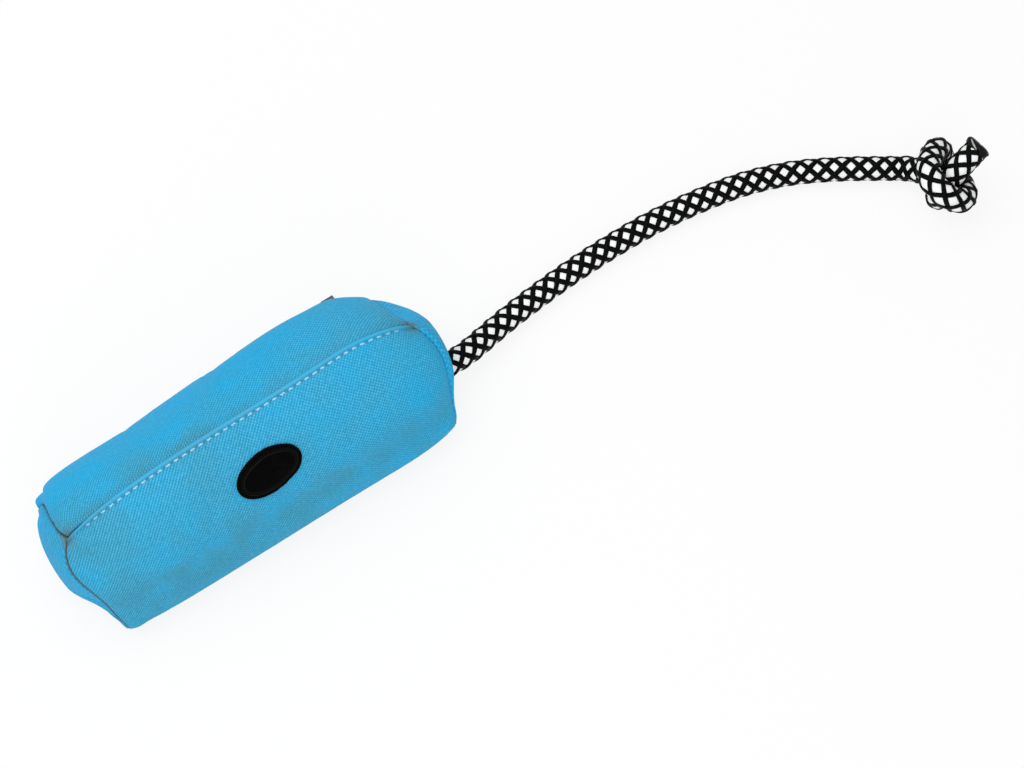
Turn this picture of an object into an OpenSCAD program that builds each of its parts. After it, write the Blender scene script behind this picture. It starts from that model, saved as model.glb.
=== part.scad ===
// Floating training bumper: a stuffed three-panel fabric body with bulging
// triangular ends, a ridge seam with a topstitch, an oval rubber badge, and a
// braided throw rope that is held by a stop knot inside and ends in a hand knot.
// Millimetres. The body lies on its base panel: +X runs along it to the rope end,
// the front panel faces -Y, the ground is z = 0.

/* [Cover] */
// Length of the cover between its corner ears
cover_length = 185; // [170:1:220]
// Height of the ridge seam at mid length
ridge_height = 78; // [72:1:88]
// Height of the ridge seam where it meets an end panel
ridge_end_height = 62; // [56:1:68]
// Sideways bow of the ridge seam at mid length
ridge_bow = 1; // [0:0.5:4]
// How far the ridge seam leans back on its way to the rope end
ridge_lean = 2; // [0:0.5:3]
// Half width across the lower edges at mid length
edge_half_width = 41.8; // [40:0.2:48]
// Half width across the corner ears
ear_half_width = 37.7; // [36:0.1:44]
// Height of the lower edges at mid length
edge_height = 13; // [10:0.5:16]
// Height of the corner ears
ear_height = 10; // [8:0.5:14]
// Crown of the front and back panels at mid length
panel_crown = 14; // [11:0.5:17]
// Depth of the slack valley above the front edge
valley_depth = 2.2; // [0:0.1:3]
// Height of the shoulder of the back panel above the tab
shoulder_height = 2.2; // [0:0.1:3]
// Crown of the front and base panels at the end seams
end_crown = 6.5; // [4:0.5:9]
// Crown of the back panel at the seam of the closed end
back_closed_crown = 3.5; // [2:0.5:7]
// Crown of the back panel at the seam of the rope end
back_rope_crown = 1; // [0.5:0.5:7]
// Crown of the base panel, most of it pressed flat on the ground
base_crown = 15; // [14.5:0.5:18]
// How much fuller the rope half of the body is, as a share of the crown
fullness = 0.12; // [0:0.01:0.2]
// How far the closed end bulges past its ears
closed_bulge = 12.5; // [9:0.5:16]
// How far the rope end bulges past its ears
rope_bulge = 10.5; // [9:0.5:16]
// How far the end seams are drawn in between the ears
seam_draw = 2; // [0.5:0.1:3]
// Thickness of the coated fabric
fabric = 0.9; // [0.6:0.1:1.2]

/* [Badge] */
// Length of the oval badge
badge_length = 34; // [26:1:40]
// Width of the oval badge
badge_width = 22; // [18:1:26]
// Thickness of the badge at its raised rim
badge_thickness = 1.6; // [1.2:0.1:2.4]
// Tilt of the badge's long axis towards the ridge
badge_tilt = 5; // [-10:1:10]

/* [Stitching] */
// Spacing of the ridge topstitches
stitch_pitch = 4.4; // [3:0.1:6]
// Visible length of one stitch
stitch_length = 2.4; // [2:0.1:3.4]
// Diameter of the sewing thread
thread = 0.7; // [0.5:0.1:1]
// Distance of the topstitch row from the ridge seam
stitch_inset = 2.3; // [1.6:0.1:4]

/* [Rope] */
// Diameter of the throw rope
rope = 12; // [10:0.2:12]
// Diameter of the rope where it is pulled tight in a knot
knotted_rope = 9.8; // [9:0.2:9.8]
// Length of the melted tip at the rope's end
tip_length = 6; // [4:0.5:8]

/* [Hidden] */
$fn = 48;

// Colours
fabric_blue = "#2f9fd6";
shaded_blue = "#2787bb";
foam_white = "#ece8dc";
thread_blue = "#a9dcf2";
rubber_black = "#161616";
tab_grey = "#8d949a";
rope_white = "#e9e9e6";
rope_grey = "#9a9a98";

// The body is drawn as a net of points. Columns run round the section from the
// ridge over the back, base and front panels; stations run along the length.
panel_columns = 12;
around = 3 * panel_columns;
stations = 20;
dome_steps = [0.95, 0.82, 0.62, 0.36];
half = cover_length / 2;

function unit(v) = v / norm(v);
function mix(a, b, t) = a + (b - a) * t;
// Share of the mid-length form that is left at place u, from -1 to 1 along the body
function fall(u, power) = 1 - pow(abs(u), power);
// A hump of height 1 that fades out on both sides, and an eased step from 0 to 1
function hump(distance, width) = exp(-pow(distance / width, 2));
function eased(v) = let (w = max(0, min(1, v))) w * w * (3 - 2 * w);

// The three long seams: the ridge, the back edge and the front edge. The ridge drops
// late at the rope end, and its closed end is pulled outwards by the end panel.
ridge_pull = [-3.4, -1, -0.6];
function ridge(u) = let (rise = fall(u, u < 0 ? 3 : 4.5)) [
    u * half,
    ridge_bow * rise + ridge_lean * hump(u - 0.72, 0.3) * fall(u, 8),
    mix(ridge_end_height, ridge_height, rise)] + ridge_pull * hump(u + 1, 0.12);
function lower_edge(u, side) = [u * half, side * mix(ear_half_width, edge_half_width, fall(u, 6)),
    mix(ear_height, edge_height, fall(u, 6))];
function seam(k, u) = k % 3 == 0 ? ridge(u) : lower_edge(u, k == 1 ? 1 : -1);

// Axial swell of the back, base and front panels' end seams, fuller next to the ridge
closed_swell = [2, 4, 7];
rope_swell = [1.5, 4, 7];
function end_swell(k, u, t) = let (
    lean = k == 0 ? 1 - pow(1 - t, 1.6) : k == 1 ? t : pow(t, u < 0 ? 2.2 : 1.6))
    (u < 0 ? closed_swell : rope_swell)[k] * sin(180 * lean);

// Crown of the panels. The back one keeps its crown right up to the end seams, has a
// slack stretch near the closed end and is full before the rope end: shares at five places.
back_shares = [0.95, 0.79, 0.99, 1.1, 0.6];
function back_share(u) = let (last = len(back_shares) - 1, i = min(floor((u + 1) * last / 2), last - 1))
    bent(back_shares[max(i - 1, 0)], back_shares[i], back_shares[i + 1], back_shares[min(i + 2, last)],
        (u + 1) * last / 2 - i);
function crown(k, u) = k == 0
    ? mix(u < 0 ? back_closed_crown : back_rope_crown, panel_crown * back_share(u),
        fall(u, u < 0 ? 36 : 30))
    : mix(end_crown, k == 1 ? base_crown : panel_crown * (1 + fullness * u), fall(u, 7));
// The section across a panel is blunter next to the end seams
end_blunt = 0.75;
mid_blunt = 1.2;
function profile(u, t) = pow(4 * t * (1 - t), mix(end_blunt, mid_blunt, fall(u, 6)));

// The back panel has a shoulder above the tab, where its fall to the end starts, and a
// lobe over the ear at the closed end. The front panel lies slack in a valley a quarter
// of the way up from its edge and has a lobe over the ear at the rope end.
back_lobe = 3.5;
front_lobe = 2.5;
function back_relief(u, t) = shoulder_height * hump(u - 0.77, 0.12) * sin(180 * t)
    + back_lobe * hump(u + 0.975, 0.04) * hump(t - 0.93, 0.07);
function front_relief(u, t) = front_lobe * hump(u - 0.94, 0.05) * hump(t - 0.1, 0.06)
    - valley_depth * hump(t - 0.25, 0.11) * fall(u, 8);
function relief(k, u, t) = k == 0 ? back_relief(u, t) : k == 2 ? front_relief(u, t) : 0;

// Three of the corner ears and the front edge before the fourth are pulled askew by
// their seams: place along the body, side, pull and reach of each
ear_pulls = [[-1, 1, [-2.4, -2.4, -1.2], 7], [-1, -1, [2.2, 0.5, 0], 9], [1, -1, [-0.8, 0.8, 0], 9],
    [0.75, -1, [0.2, -0.8, 0], 25]];
function ear_pull(p) = [for (e = ear_pulls) 1]
    * [for (e = ear_pulls) e[2] * hump(norm(p - [e[0] * half, e[1] * ear_half_width, ear_height]), e[3])];

// Point of panel k at place u along the body and share t across the panel
function panel_point(k, u, t) = let (
    a = seam(k, u),
    b = seam(k + 1, u),
    across = unit([0, b.y - a.y, b.z - a.z]),
    out = [0, -across.z, across.y],
    lift = crown(k, u) * profile(u, t) + relief(k, u, t),
    p = mix(a, b, t) + out * lift + [u * abs(u) * end_swell(k, u, t), 0, 0],
    q = p + ear_pull(p))
    [q.x, q.y, max(q.z, 0)];

// A line inside the body that thickness and drawn-in seams are measured towards
function heart(p) = [max(-70, min(70, p.x)), 0, 30];
function towards_heart(p, distance) = p + unit(heart(p) - p) * distance;

// Stations lie closer together near the ends
function place(i) = let (v = 2 * i / stations - 1) 0.5 * v + 0.5 * sin(90 * v);
function net_point(i, c) = let (
    k = floor(c / panel_columns),
    t = (c % panel_columns) / panel_columns,
    p = panel_point(k, place(i), t))
    i == 0 || i == stations ? towards_heart(p, seam_draw * sin(180 * t)) : p;

// An end panel is a dome on its seam: share r of the way out from its crown. The
// rise is the product of the shares of the three corners, so it fades to the ears. The
// filling is slack by the ears and fuller high up in the rope end.
function dome_centre(side) = [side * (half + (side < 0 ? closed_bulge : rope_bulge)), 0, 28];
function dome_rise(r, t) = let (inner = (1 - r) / 3)
    pow(27 * inner * (inner + r * t) * (inner + r * (1 - t)), 0.45);
function filled(side, y, z) = side < 0
    ? 1 - 0.9 * eased((-y - 8) / 22) - 0.15 * eased((y - 20) / 14)
    : 1 - 0.5 * eased((-y - 18) / 16) + 0.35 * eased((z - 26) / 20);
function dome_point(side, r, c) = let (
    t = (c % panel_columns) / panel_columns,
    edge = panel_point(floor(c / panel_columns), side, t),
    centre = dome_centre(side),
    y = mix(centre.y, edge.y, r),
    z = mix(centre.z, edge.z, r))
    [mix(edge.x, centre.x, dome_rise(r, t) * filled(side, y, z)), y, z];

side_net = [for (i = [0:stations]) [for (c = [0:around - 1]) net_point(i, c)]];
function dome_net(side) = [for (r = dome_steps) [for (c = [0:around - 1]) dome_point(side, r, c)]];
closed_net = concat(reversed(dome_net(-1)), [side_net[0]]);
rope_net = concat([side_net[stations]], dome_net(1));
function lined(net) = [for (row = net) [for (p = row) towards_heart(p, fabric)]];
function flat(net) = [for (row = net) each row];
function reversed(list) = [for (i = [len(list) - 1:-1:0]) list[i]];

// Triangles of a net of rows and columns whose first point has number start
function net_faces(rows, cols, start, closed, flip) = [
    for (i = [0:rows - 2])
    for (j = [0:cols - (closed ? 1 : 2)])
    let (k = (j + 1) % cols,
        a = start + i * cols + j,
        b = start + i * cols + k,
        c = start + (i + 1) * cols + k,
        d = start + (i + 1) * cols + j)
    each flip ? [[c, b, a], [d, c, a]] : [[a, b, c], [a, c, d]]];
// Triangles from one row to a pole point
function fan_faces(cols, start, pole, flip) = [
    for (j = [0:cols - 1])
    let (a = start + j, b = start + (j + 1) % cols)
    flip ? [b, a, pole] : [a, b, pole]];
// Triangles of the strip between two rows of point numbers
function strip_faces(upper, lower) = [
    for (j = [0:len(upper) - 2])
    each [[upper[j + 1], upper[j], lower[j]], [upper[j + 1], lower[j], lower[j + 1]]]];

// One of the three long panels, a sheet with real thickness
module long_panel(k) {
    cols = panel_columns + 1;
    rows = stations + 1;
    columns = [for (j = [0:panel_columns]) (k * panel_columns + j) % around];
    outer = [for (row = side_net) [for (c = columns) row[c]]];
    size = rows * cols;
    near = [for (j = [0:cols - 1]) j];
    far = [for (j = [0:cols - 1]) (rows - 1) * cols + j];
    left = [for (i = [0:rows - 1]) i * cols];
    right = [for (i = [0:rows - 1]) i * cols + cols - 1];
    shift = function (list) [for (n = list) n + size];
    polyhedron(concat(flat(outer), flat(lined(outer))), concat(
        net_faces(rows, cols, 0, false, false),
        net_faces(rows, cols, size, false, true),
        strip_faces(near, shift(near)),
        strip_faces(reversed(far), shift(reversed(far))),
        strip_faces(reversed(left), shift(reversed(left))),
        strip_faces(right, shift(right))));
}

// A triangular end panel, domed outwards. Its rows run along +X like the foam's.
module end_panel(net, side) {
    size = len(net) * around;
    closed = side < 0;
    crown_row = closed ? 0 : size - around;
    rim_row = closed ? size - around : 0;
    pole = dome_centre(side);
    lining = size + 1;
    rim = [for (j = [0:around]) rim_row + j % around];
    back_rim = [for (n = rim) n + lining];
    polyhedron(concat(flat(net), [pole], flat(lined(net)), [towards_heart(pole, fabric)]), concat(
        net_faces(len(net), around, 0, true, false),
        fan_faces(around, crown_row, size, closed),
        net_faces(len(net), around, lining, true, true),
        fan_faces(around, lining + crown_row, lining + size, !closed),
        closed ? strip_faces(reversed(rim), reversed(back_rim)) : strip_faces(rim, back_rim)));
}

module front_panel() color(fabric_blue) long_panel(2);
module back_panel() color(fabric_blue) long_panel(0);
module base_panel() color(shaded_blue) long_panel(1);
module end_panel_closed() color(shaded_blue) end_panel(closed_net, -1);
module end_panel_rope() color(shaded_blue) difference() {
    end_panel(rope_net, 1);
    along_exit(-20, 20, rope + 0.2);
}

// Foam core: fills the cover, with a bore for the rope and a pocket for its knot
module foam_core() {
    rings = lined(concat(reversed(dome_net(-1)), side_net, dome_net(1)));
    count = len(rings) * around;
    ends = [towards_heart(dome_centre(-1), fabric), towards_heart(dome_centre(1), fabric)];
    color(foam_white) difference() {
        polyhedron(concat(flat(rings), ends), concat(
            fan_faces(around, 0, count, true),
            net_faces(len(rings), around, 0, true, false),
            fan_faces(around, count - around, count + 1, false)));
        along_exit(-anchor_length - 1, 20, rope + 0.4);
        translate(stop_knot_centre - stop_knot_axes[0] * 21.5 - stop_knot_axes[2] * 1.5)
            point_along(stop_knot_axes[0]) cylinder(d = 47.2, h = 42);
    }
}

// Topstitch: separate stitches on the front panel, just below the ridge seam
stitch_share = 1 - stitch_inset / 78;
stitch_count = floor((cover_length - 12) / stitch_pitch);
function stitch_place(x) = panel_point(2, x / half, stitch_share) + [0, -0.3, 0.2];
module ridge_topstitch() color(thread_blue)
    for (i = [0:stitch_count - 1])
        let (x = (i - (stitch_count - 1) / 2) * stitch_pitch,
            start = stitch_place(x - stitch_length / 2),
            end = stitch_place(x + stitch_length / 2))
            translate(start) point_along(end - start) cylinder(d = thread, h = norm(end - start), $fn = 16);

// Badge: an oval rubber plate that follows the front panel, with a raised rim and
// a sewing channel round a flat field
badge_place = [-0.012, 0.642];
badge_sides = 40;
badge_rings = [[0, -0.1], [0, 0.9], [0.4, 1], [2, 1], [2.3, 0.66], [3, 0.66], [3.3, 0.86], [7, 0.86]];
badge_step = 0.01;
function near_badge(along, up) = panel_point(2, badge_place.x + along, badge_place.y + up);
badge_upward = near_badge(0, badge_step) - near_badge(0, -badge_step);
badge_across = norm(badge_upward) / (2 * badge_step);
badge_out = unit(cross(near_badge(badge_step, 0) - near_badge(-badge_step, 0), badge_upward));
function badge_point(inset, lift, angle) = let (
    x = (badge_length / 2 - inset) * cos(angle),
    y = (badge_width / 2 - inset) * sin(angle),
    along = x * cos(badge_tilt) - y * sin(badge_tilt),
    up = x * sin(badge_tilt) + y * cos(badge_tilt))
    near_badge(along / half, up / badge_across) + badge_out * lift;
module badge() {
    rings = [for (r = badge_rings) [for (j = [0:badge_sides - 1])
        badge_point(r[0], r[1] < 0 ? r[1] : r[1] * badge_thickness, -360 * j / badge_sides)]];
    under = [for (j = [0:badge_sides - 1]) badge_point(7, -0.1, -360 * j / badge_sides)];
    net = concat([under], rings);
    count = len(net) * badge_sides;
    middles = [for (lift = [-0.1, 0.86 * badge_thickness]) badge_point(badge_width / 2, lift, 90)];
    color(rubber_black) polyhedron(concat(flat(net), middles), concat(
        fan_faces(badge_sides, 0, count, true),
        net_faces(len(net), badge_sides, 0, true, false),
        fan_faces(badge_sides, count - badge_sides, count + 1, false)));
}

// Folded tab sewn into the back edge seam near the rope end
tab_width = 6.5;
module seam_tab() color(tab_grey)
    translate(lower_edge(0.805, 1) + [-tab_width / 2, -0.8, -0.6]) difference() {
        cube([tab_width, 10, 1.2]);
        translate([-1, 10, 0.6]) rotate([0, 90, 0]) difference() {
            translate([-2, -0.6, 0]) cube([4, 2, tab_width + 2]);
            translate([0, -0.6, -1]) cylinder(d = 1.2, h = tab_width + 4);
        }
    }

// Route of the rope outside the body, on the ground as far as the hand knot
shift_x = half - 92.5;
rope_route = [for (p = [
    [106, -10.5, 16.5], [114, -10, 14.5], [122, -8.7, 12.5], [130, -7.2, 10.6], [138, -5.8, 8.9],
    [150, -4.2, 7.2], [164, -2.8, 6.3], [182, -1.6, 6.2], [202, -1.2, 6.2], [222, -1.6, 6.2],
    [240, -3, 6.2], [256, -5.2, 6.2], [272, -8.2, 6.2], [286, -12.2, 6.2], [300, -17.6, 6.2],
    [313, -24.2, 6.2], [325, -31.2, 6.2], [335, -37.6, 6.2], [344, -43.5, 6.2]])
    [p.x + shift_x, p.y, p.z]];
bend_swing_end = 2;
bend_lift_end = 4;

// Route of the rope through an overhand knot: x runs on along the rope, z is up
knot_route = [[-22, 11.7, -13.8], [-15.5, 11, -12.5], [-10.2, 8.5, -9], [-5.2, 5.8, -5], [0.5, 4, -3.7],
    [6.5, 0.8, -3.5], [9.8, -4.9, -1.7], [9, -10.6, 2.5], [5, -13.9, 7.2], [-1.1, -13.1, 11.3],
    [-6.3, -8.5, 13.3], [-8.6, -2.2, 12.9], [-7.9, 4.4, 9.6], [-5.6, 10.2, 5.9], [-3, 14.6, 2],
    [-0.4, 16.3, -4.4], [0.9, 13.6, -10.3], [1.1, 7.4, -14.4], [-0.4, 0.6, -14.4], [-1.6, -4.8, -10.1],
    [-2.3, -6.5, -3.8], [-0.7, -5, 2.8], [2.6, -2.3, 8], [7.2, 2.2, 12], [12.9, 7.6, 14.8]];
knot_heading = [0.834, -0.552, 0];
end_knot_axes = [knot_heading, [0.552, 0.834, 0], [0, 0, 1]];
exit_heading = unit(rope_route[1] - rope_route[0]);
anchor_length = 34;
stop_knot_axes = [-exit_heading, unit(cross([0, 0, 1], -exit_heading)),
    cross(-exit_heading, unit(cross([0, 0, 1], -exit_heading)))];
function placed(points, centre, axes) = [
    for (p = points) centre + axes[0] * p.x + axes[1] * p.y + axes[2] * p.z];
function knot_centre(entry, axes) = entry - placed([knot_route[0]], [0, 0, 0], axes)[0];
end_knot_centre = knot_centre(rope_route[len(rope_route) - 1], end_knot_axes);
stop_knot_centre = knot_centre(rope_route[0] - exit_heading * anchor_length, stop_knot_axes);

// Turns +Z to a direction
module point_along(v) {
    rotate([0, acos(v.z / norm(v)), atan2(v.y, v.x)]) children();
}
// A cylinder on the rope's line through the end panel
module along_exit(from, to, diameter) {
    translate(rope_route[0] + exit_heading * from)
        point_along(exit_heading) cylinder(d = diameter, h = to - from);
}

// A smooth line through hand-set points
function bent(a, b, c, d, t) = 0.5 * (2 * b + (c - a) * t + (2 * a - 5 * b + 4 * c - d) * t * t
    + (3 * b - a - 3 * c + d) * t * t * t);
function smooth(points, steps) = let (last = len(points) - 1) concat(
    [for (i = [0:last - 1], s = [0:steps - 1])
        bent(points[max(i - 1, 0)], points[i], points[i + 1], points[min(i + 2, last)], s / steps)],
    [points[last]]);
function headings(line) = let (last = len(line) - 1)
    [for (i = [0:last]) unit(line[min(i + 1, last)] - line[max(i - 1, 0)])];
// Side directions carried along the line without twist
function carried(ways, sides) = len(sides) == len(ways) ? sides
    : let (s = sides[len(sides) - 1], w = ways[len(sides)])
        carried(ways, concat(sides, [unit(s - w * (s * w))]));
rope_sides = 10;
function tube_rings(line, ways, widths) = let (
    sides = carried(ways, [unit(cross(ways[0], [0, 0, 1]))]))
    [for (i = [0:len(line) - 1]) let (s = sides[i], q = cross(ways[i], s))
        [for (j = [0:rope_sides - 1]) let (a = 360 * (j + 0.5) / rope_sides)
            line[i] + (s * cos(a) + q * sin(a)) * widths[i] / 2]];
// A tube through a run of rings, closed at both ends
module tube(rings) {
    count = len(rings) * rope_sides;
    polyhedron(flat(rings), concat(net_faces(len(rings), rope_sides, 0, true, false),
        [[for (j = [rope_sides - 1:-1:0]) j]],
        [[for (j = [0:rope_sides - 1]) count - rope_sides + j]]));
}
function run(list, from, to) = [for (i = [from:to]) list[i]];

rope_ways = concat([exit_heading], run(headings(rope_route), 1, len(rope_route) - 2), [knot_heading]);
rope_rings = tube_rings(rope_route, rope_ways, [for (p = rope_route) rope]);
// The two bending stretches stop just short of each other and of what they join
stretch_gap = 0.15;
function moved(ring, way) = [for (p = ring) p + way];
function stretch_rings(from, to) = concat(
    [moved(rope_rings[from], rope_ways[from] * stretch_gap)],
    run(rope_rings, from + 1, to - 1),
    [moved(rope_rings[to], -rope_ways[to] * stretch_gap)]);
knot_line = smooth(knot_route, 2);
knot_ways = concat([[1, 0, 0]], run(headings(knot_line), 1, len(knot_line) - 1));
// The rope is full where it enters the knot and at its tail, and pulled tight between
function knot_width(i, count) = mix(rope, knotted_rope, min(1, i / count * 10, (count - 1 - i) / count * 14));
function knot_rings(centre, axes) = tube_rings(placed(knot_line, centre, axes),
    placed(knot_ways, [0, 0, 0], axes),
    [for (i = [0:len(knot_line) - 1]) knot_width(i, len(knot_line))]);
end_rings = knot_rings(end_knot_centre, end_knot_axes);
tail_way = placed([knot_ways[len(knot_ways) - 1]], [0, 0, 0], end_knot_axes)[0];
tail_end = placed([knot_line[len(knot_line) - 1]], end_knot_centre, end_knot_axes)[0];

module rope_anchor() color(rope_grey) along_exit(-anchor_length, 0, rope);
module stop_knot() color(rope_grey) tube(knot_rings(stop_knot_centre, stop_knot_axes));
module rope_bend_swing() color(rope_white) tube(stretch_rings(0, bend_swing_end));
module rope_bend_lift() color(rope_white) tube(stretch_rings(bend_swing_end, bend_lift_end));
module free_rope() color(rope_white) tube(run(rope_rings, bend_lift_end, len(rope_rings) - 1));
module end_knot() color(rope_white) tube(end_rings);
// Melted tip: a short plug with a rounded end
module sealed_tip() color(rubber_black) translate(tail_end) point_along(tail_way) rotate_extrude()
    intersection() {
        square([rope / 2, tip_length]);
        union() {
            square([rope / 2, tip_length - 2.5]);
            square([rope / 2 - 2.5, tip_length]);
            translate([rope / 2 - 2.5, tip_length - 2.5]) circle(r = 2.5);
        }
    }

// Least gap of the knot's tube to itself, measured on points of its middle line
fine_line = smooth(knot_route, 6);
fine_count = len(fine_line);
knot_gap = min([for (i = [0:fine_count - 1]) for (j = [i + 16:1:fine_count - 1])
    norm(fine_line[i] - fine_line[j]) - (knot_width(i, fine_count) + knot_width(j, fine_count)) / 2]);
echo(least_gap_of_knot = knot_gap);

front_panel();
back_panel();
base_panel();
end_panel_closed();
end_panel_rope();
foam_core();
ridge_topstitch();
badge();
seam_tab();
rope_anchor();
stop_knot();
rope_bend_swing();
rope_bend_lift();
free_rope();
end_knot();
sealed_tip();
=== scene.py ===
import math

import bmesh
import bpy
import numpy as np
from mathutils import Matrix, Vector
from mathutils.bvhtree import BVHTree


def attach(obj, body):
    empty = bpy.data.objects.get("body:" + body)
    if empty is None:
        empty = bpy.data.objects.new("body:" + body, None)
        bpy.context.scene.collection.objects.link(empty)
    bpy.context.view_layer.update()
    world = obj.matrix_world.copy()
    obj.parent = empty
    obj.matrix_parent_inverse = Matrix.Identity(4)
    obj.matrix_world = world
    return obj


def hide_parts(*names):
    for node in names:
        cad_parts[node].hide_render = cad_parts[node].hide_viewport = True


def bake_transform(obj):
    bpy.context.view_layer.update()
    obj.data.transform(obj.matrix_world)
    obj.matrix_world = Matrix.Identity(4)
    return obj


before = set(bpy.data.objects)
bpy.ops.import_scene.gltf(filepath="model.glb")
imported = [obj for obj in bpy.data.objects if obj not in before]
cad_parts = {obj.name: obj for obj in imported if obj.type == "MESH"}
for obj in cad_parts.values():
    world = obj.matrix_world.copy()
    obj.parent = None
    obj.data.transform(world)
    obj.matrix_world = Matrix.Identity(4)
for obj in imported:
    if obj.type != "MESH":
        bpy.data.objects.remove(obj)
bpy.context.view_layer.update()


# FOAM CORE
# One block of cut polyurethane foam, trimmed to the three-sided form of the cover and
# pushed in before the last seam is closed. It has a bore for the rope and a pocket for
# the rope's stop knot.

MM = 0.001
HALF_LENGTH = 92.5
# the ridge seam: it leans back near the rope end and is drawn outwards at the closed end
RIDGE_END, RIDGE_MIDDLE, RIDGE_CLOSED_POWER, RIDGE_ROPE_POWER = 62, 78, 3, 4.5
RIDGE_LEAN, LEAN_AT, LEAN_REACH, LEAN_POWER = 2.0, 0.72, 0.3, 8
RIDGE_PULL, PULL_REACH = np.array([-3.4, -1, -0.6]), 0.12
# both lower edges, from the ears at the ends to the middle
EDGE_HALF_WIDTH, EAR_HALF_WIDTH, EDGE_HEIGHT, EAR_HEIGHT, EDGE_POWER = 42.3, 38.3, 13, 10, 6
# how far each panel swells out, and how blunt the swelling is across the panel
PANEL_CROWN, BASE_CROWN, END_CROWN, SIDE_POWER = 14, 15, 6.5, 7
BACK_CLOSED_CROWN, BACK_ROPE_CROWN, BACK_CLOSED_POWER, BACK_ROPE_POWER = 3.5, 1.0, 36, 30
BACK_SHARES = np.array([0.95, 0.79, 0.99, 1.1, 0.6])
FULLER_ROPE_HALF = 0.12
END_BLUNT, MID_BLUNT = 0.75, 1.2
# how far the panels' ends swell along the body, for back, base and front, and where
CLOSED_SWELL, ROPE_SWELL = (2, 4, 7), (-1, 4, 7)
BACK_SWELL_LEAN, CLOSED_SWELL_LEAN, ROPE_SWELL_LEAN = 1.6, 2.2, 1.6
CLOSED_BULGE, ROPE_BULGE, DOME_HEIGHT, DOME_POWER = 13.0, 11.4, 28, 0.45
# folds and lobes: height, place and reach
SHOULDER_HEIGHT, SHOULDER_AT, SHOULDER_REACH = 2.2, 0.77, 0.12
VALLEY_DEPTH, VALLEY_AT, VALLEY_REACH, VALLEY_POWER = 2.2, 0.25, 0.11, 8
FRONT_LOBE, LOBE_AT, LOBE_REACH = 2.5, (0.94, 0.1), (0.05, 0.06)
# pulls near the ears: place along, side, move and reach
EAR_PULLS = ((-1, 1, (-0.9, -3.3, -1.2), 7), (-0.962, 1, (-5.4, 2.7, 0), 5.5), (-1, -1, (2.2, 0.5, 0), 9),
             (-0.93, -1, (-0.4, -1.2, 0), 5), (1, -1, (-0.8, 0.8, 0), 9), (0.75, -1, (0.2, -0.8, 0), 25))
SEAM_DRAW, SEAM_DRAW_REACH = 2.0, 3
HEART_HALF_LENGTH, HEART_HEIGHT = 70, 30
# how slack the ends are by their ears, and how much fuller the rope end is at its top and back
CLOSED_FRONT_SLACK, CLOSED_BACK_SLACK, ROPE_FRONT_SLACK = 0.9, 0.4, 0.5
ROPE_TOP_FILL, ROPE_BACK_FILL = 0.25, 0.14
FOAM_BELOW_COVER, FOAM_FULLNESS = 4.0, 0.97


def fall(u, power):
    """Share of the mid-length form that is left at place u, from -1 to 1 along the body."""
    return 1 - np.abs(u) ** power


def hump(distance, width):
    """A hump of height 1 that fades out on both sides."""
    return np.exp(-(distance / width) ** 2)


def eased(v):
    """An eased step from 0 to 1."""
    v = np.clip(v, 0, 1)
    return v * v * (3 - 2 * v)


def between(field, places):
    """Reads rows of a field, one unit apart, at fractional places on a smooth line."""
    last = len(field) - 1
    i = np.clip(np.floor(places).astype(int), 0, last - 1)
    f = (places - i).reshape((-1,) + (1,) * (field.ndim - 1))
    a, b, c, d = (field[np.clip(i + n, 0, last)] for n in (-1, 0, 1, 2))
    curve = (c - a) * f + (2 * a - 5 * b + 4 * c - d) * f ** 2 + (3 * b - a - 3 * c + d) * f ** 3
    return b + 0.5 * curve


def seam_line(number, u):
    """The ridge seam (0 or 3), the back edge (1) or the front edge (2), in millimetres."""
    if number % 3 == 0:
        rise = fall(u, np.where(u < 0, RIDGE_CLOSED_POWER, RIDGE_ROPE_POWER))
        bow = rise + RIDGE_LEAN * hump(u - LEAN_AT, LEAN_REACH) * fall(u, LEAN_POWER)
        line = np.stack([HALF_LENGTH * u, bow, RIDGE_END + (RIDGE_MIDDLE - RIDGE_END) * rise], -1)
        return line + RIDGE_PULL * hump(u + 1, PULL_REACH)[..., None]
    side = 1 if number == 1 else -1
    middle = fall(u, EDGE_POWER)
    half_width = EAR_HALF_WIDTH + (EDGE_HALF_WIDTH - EAR_HALF_WIDTH) * middle
    height = EAR_HEIGHT + (EDGE_HEIGHT - EAR_HEIGHT) * middle
    return np.stack([HALF_LENGTH * u, side * half_width, height], -1)


def unit(v):
    """Directions of length 1."""
    return v / np.maximum(np.linalg.norm(v, axis=-1, keepdims=True), 1e-9)


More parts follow.
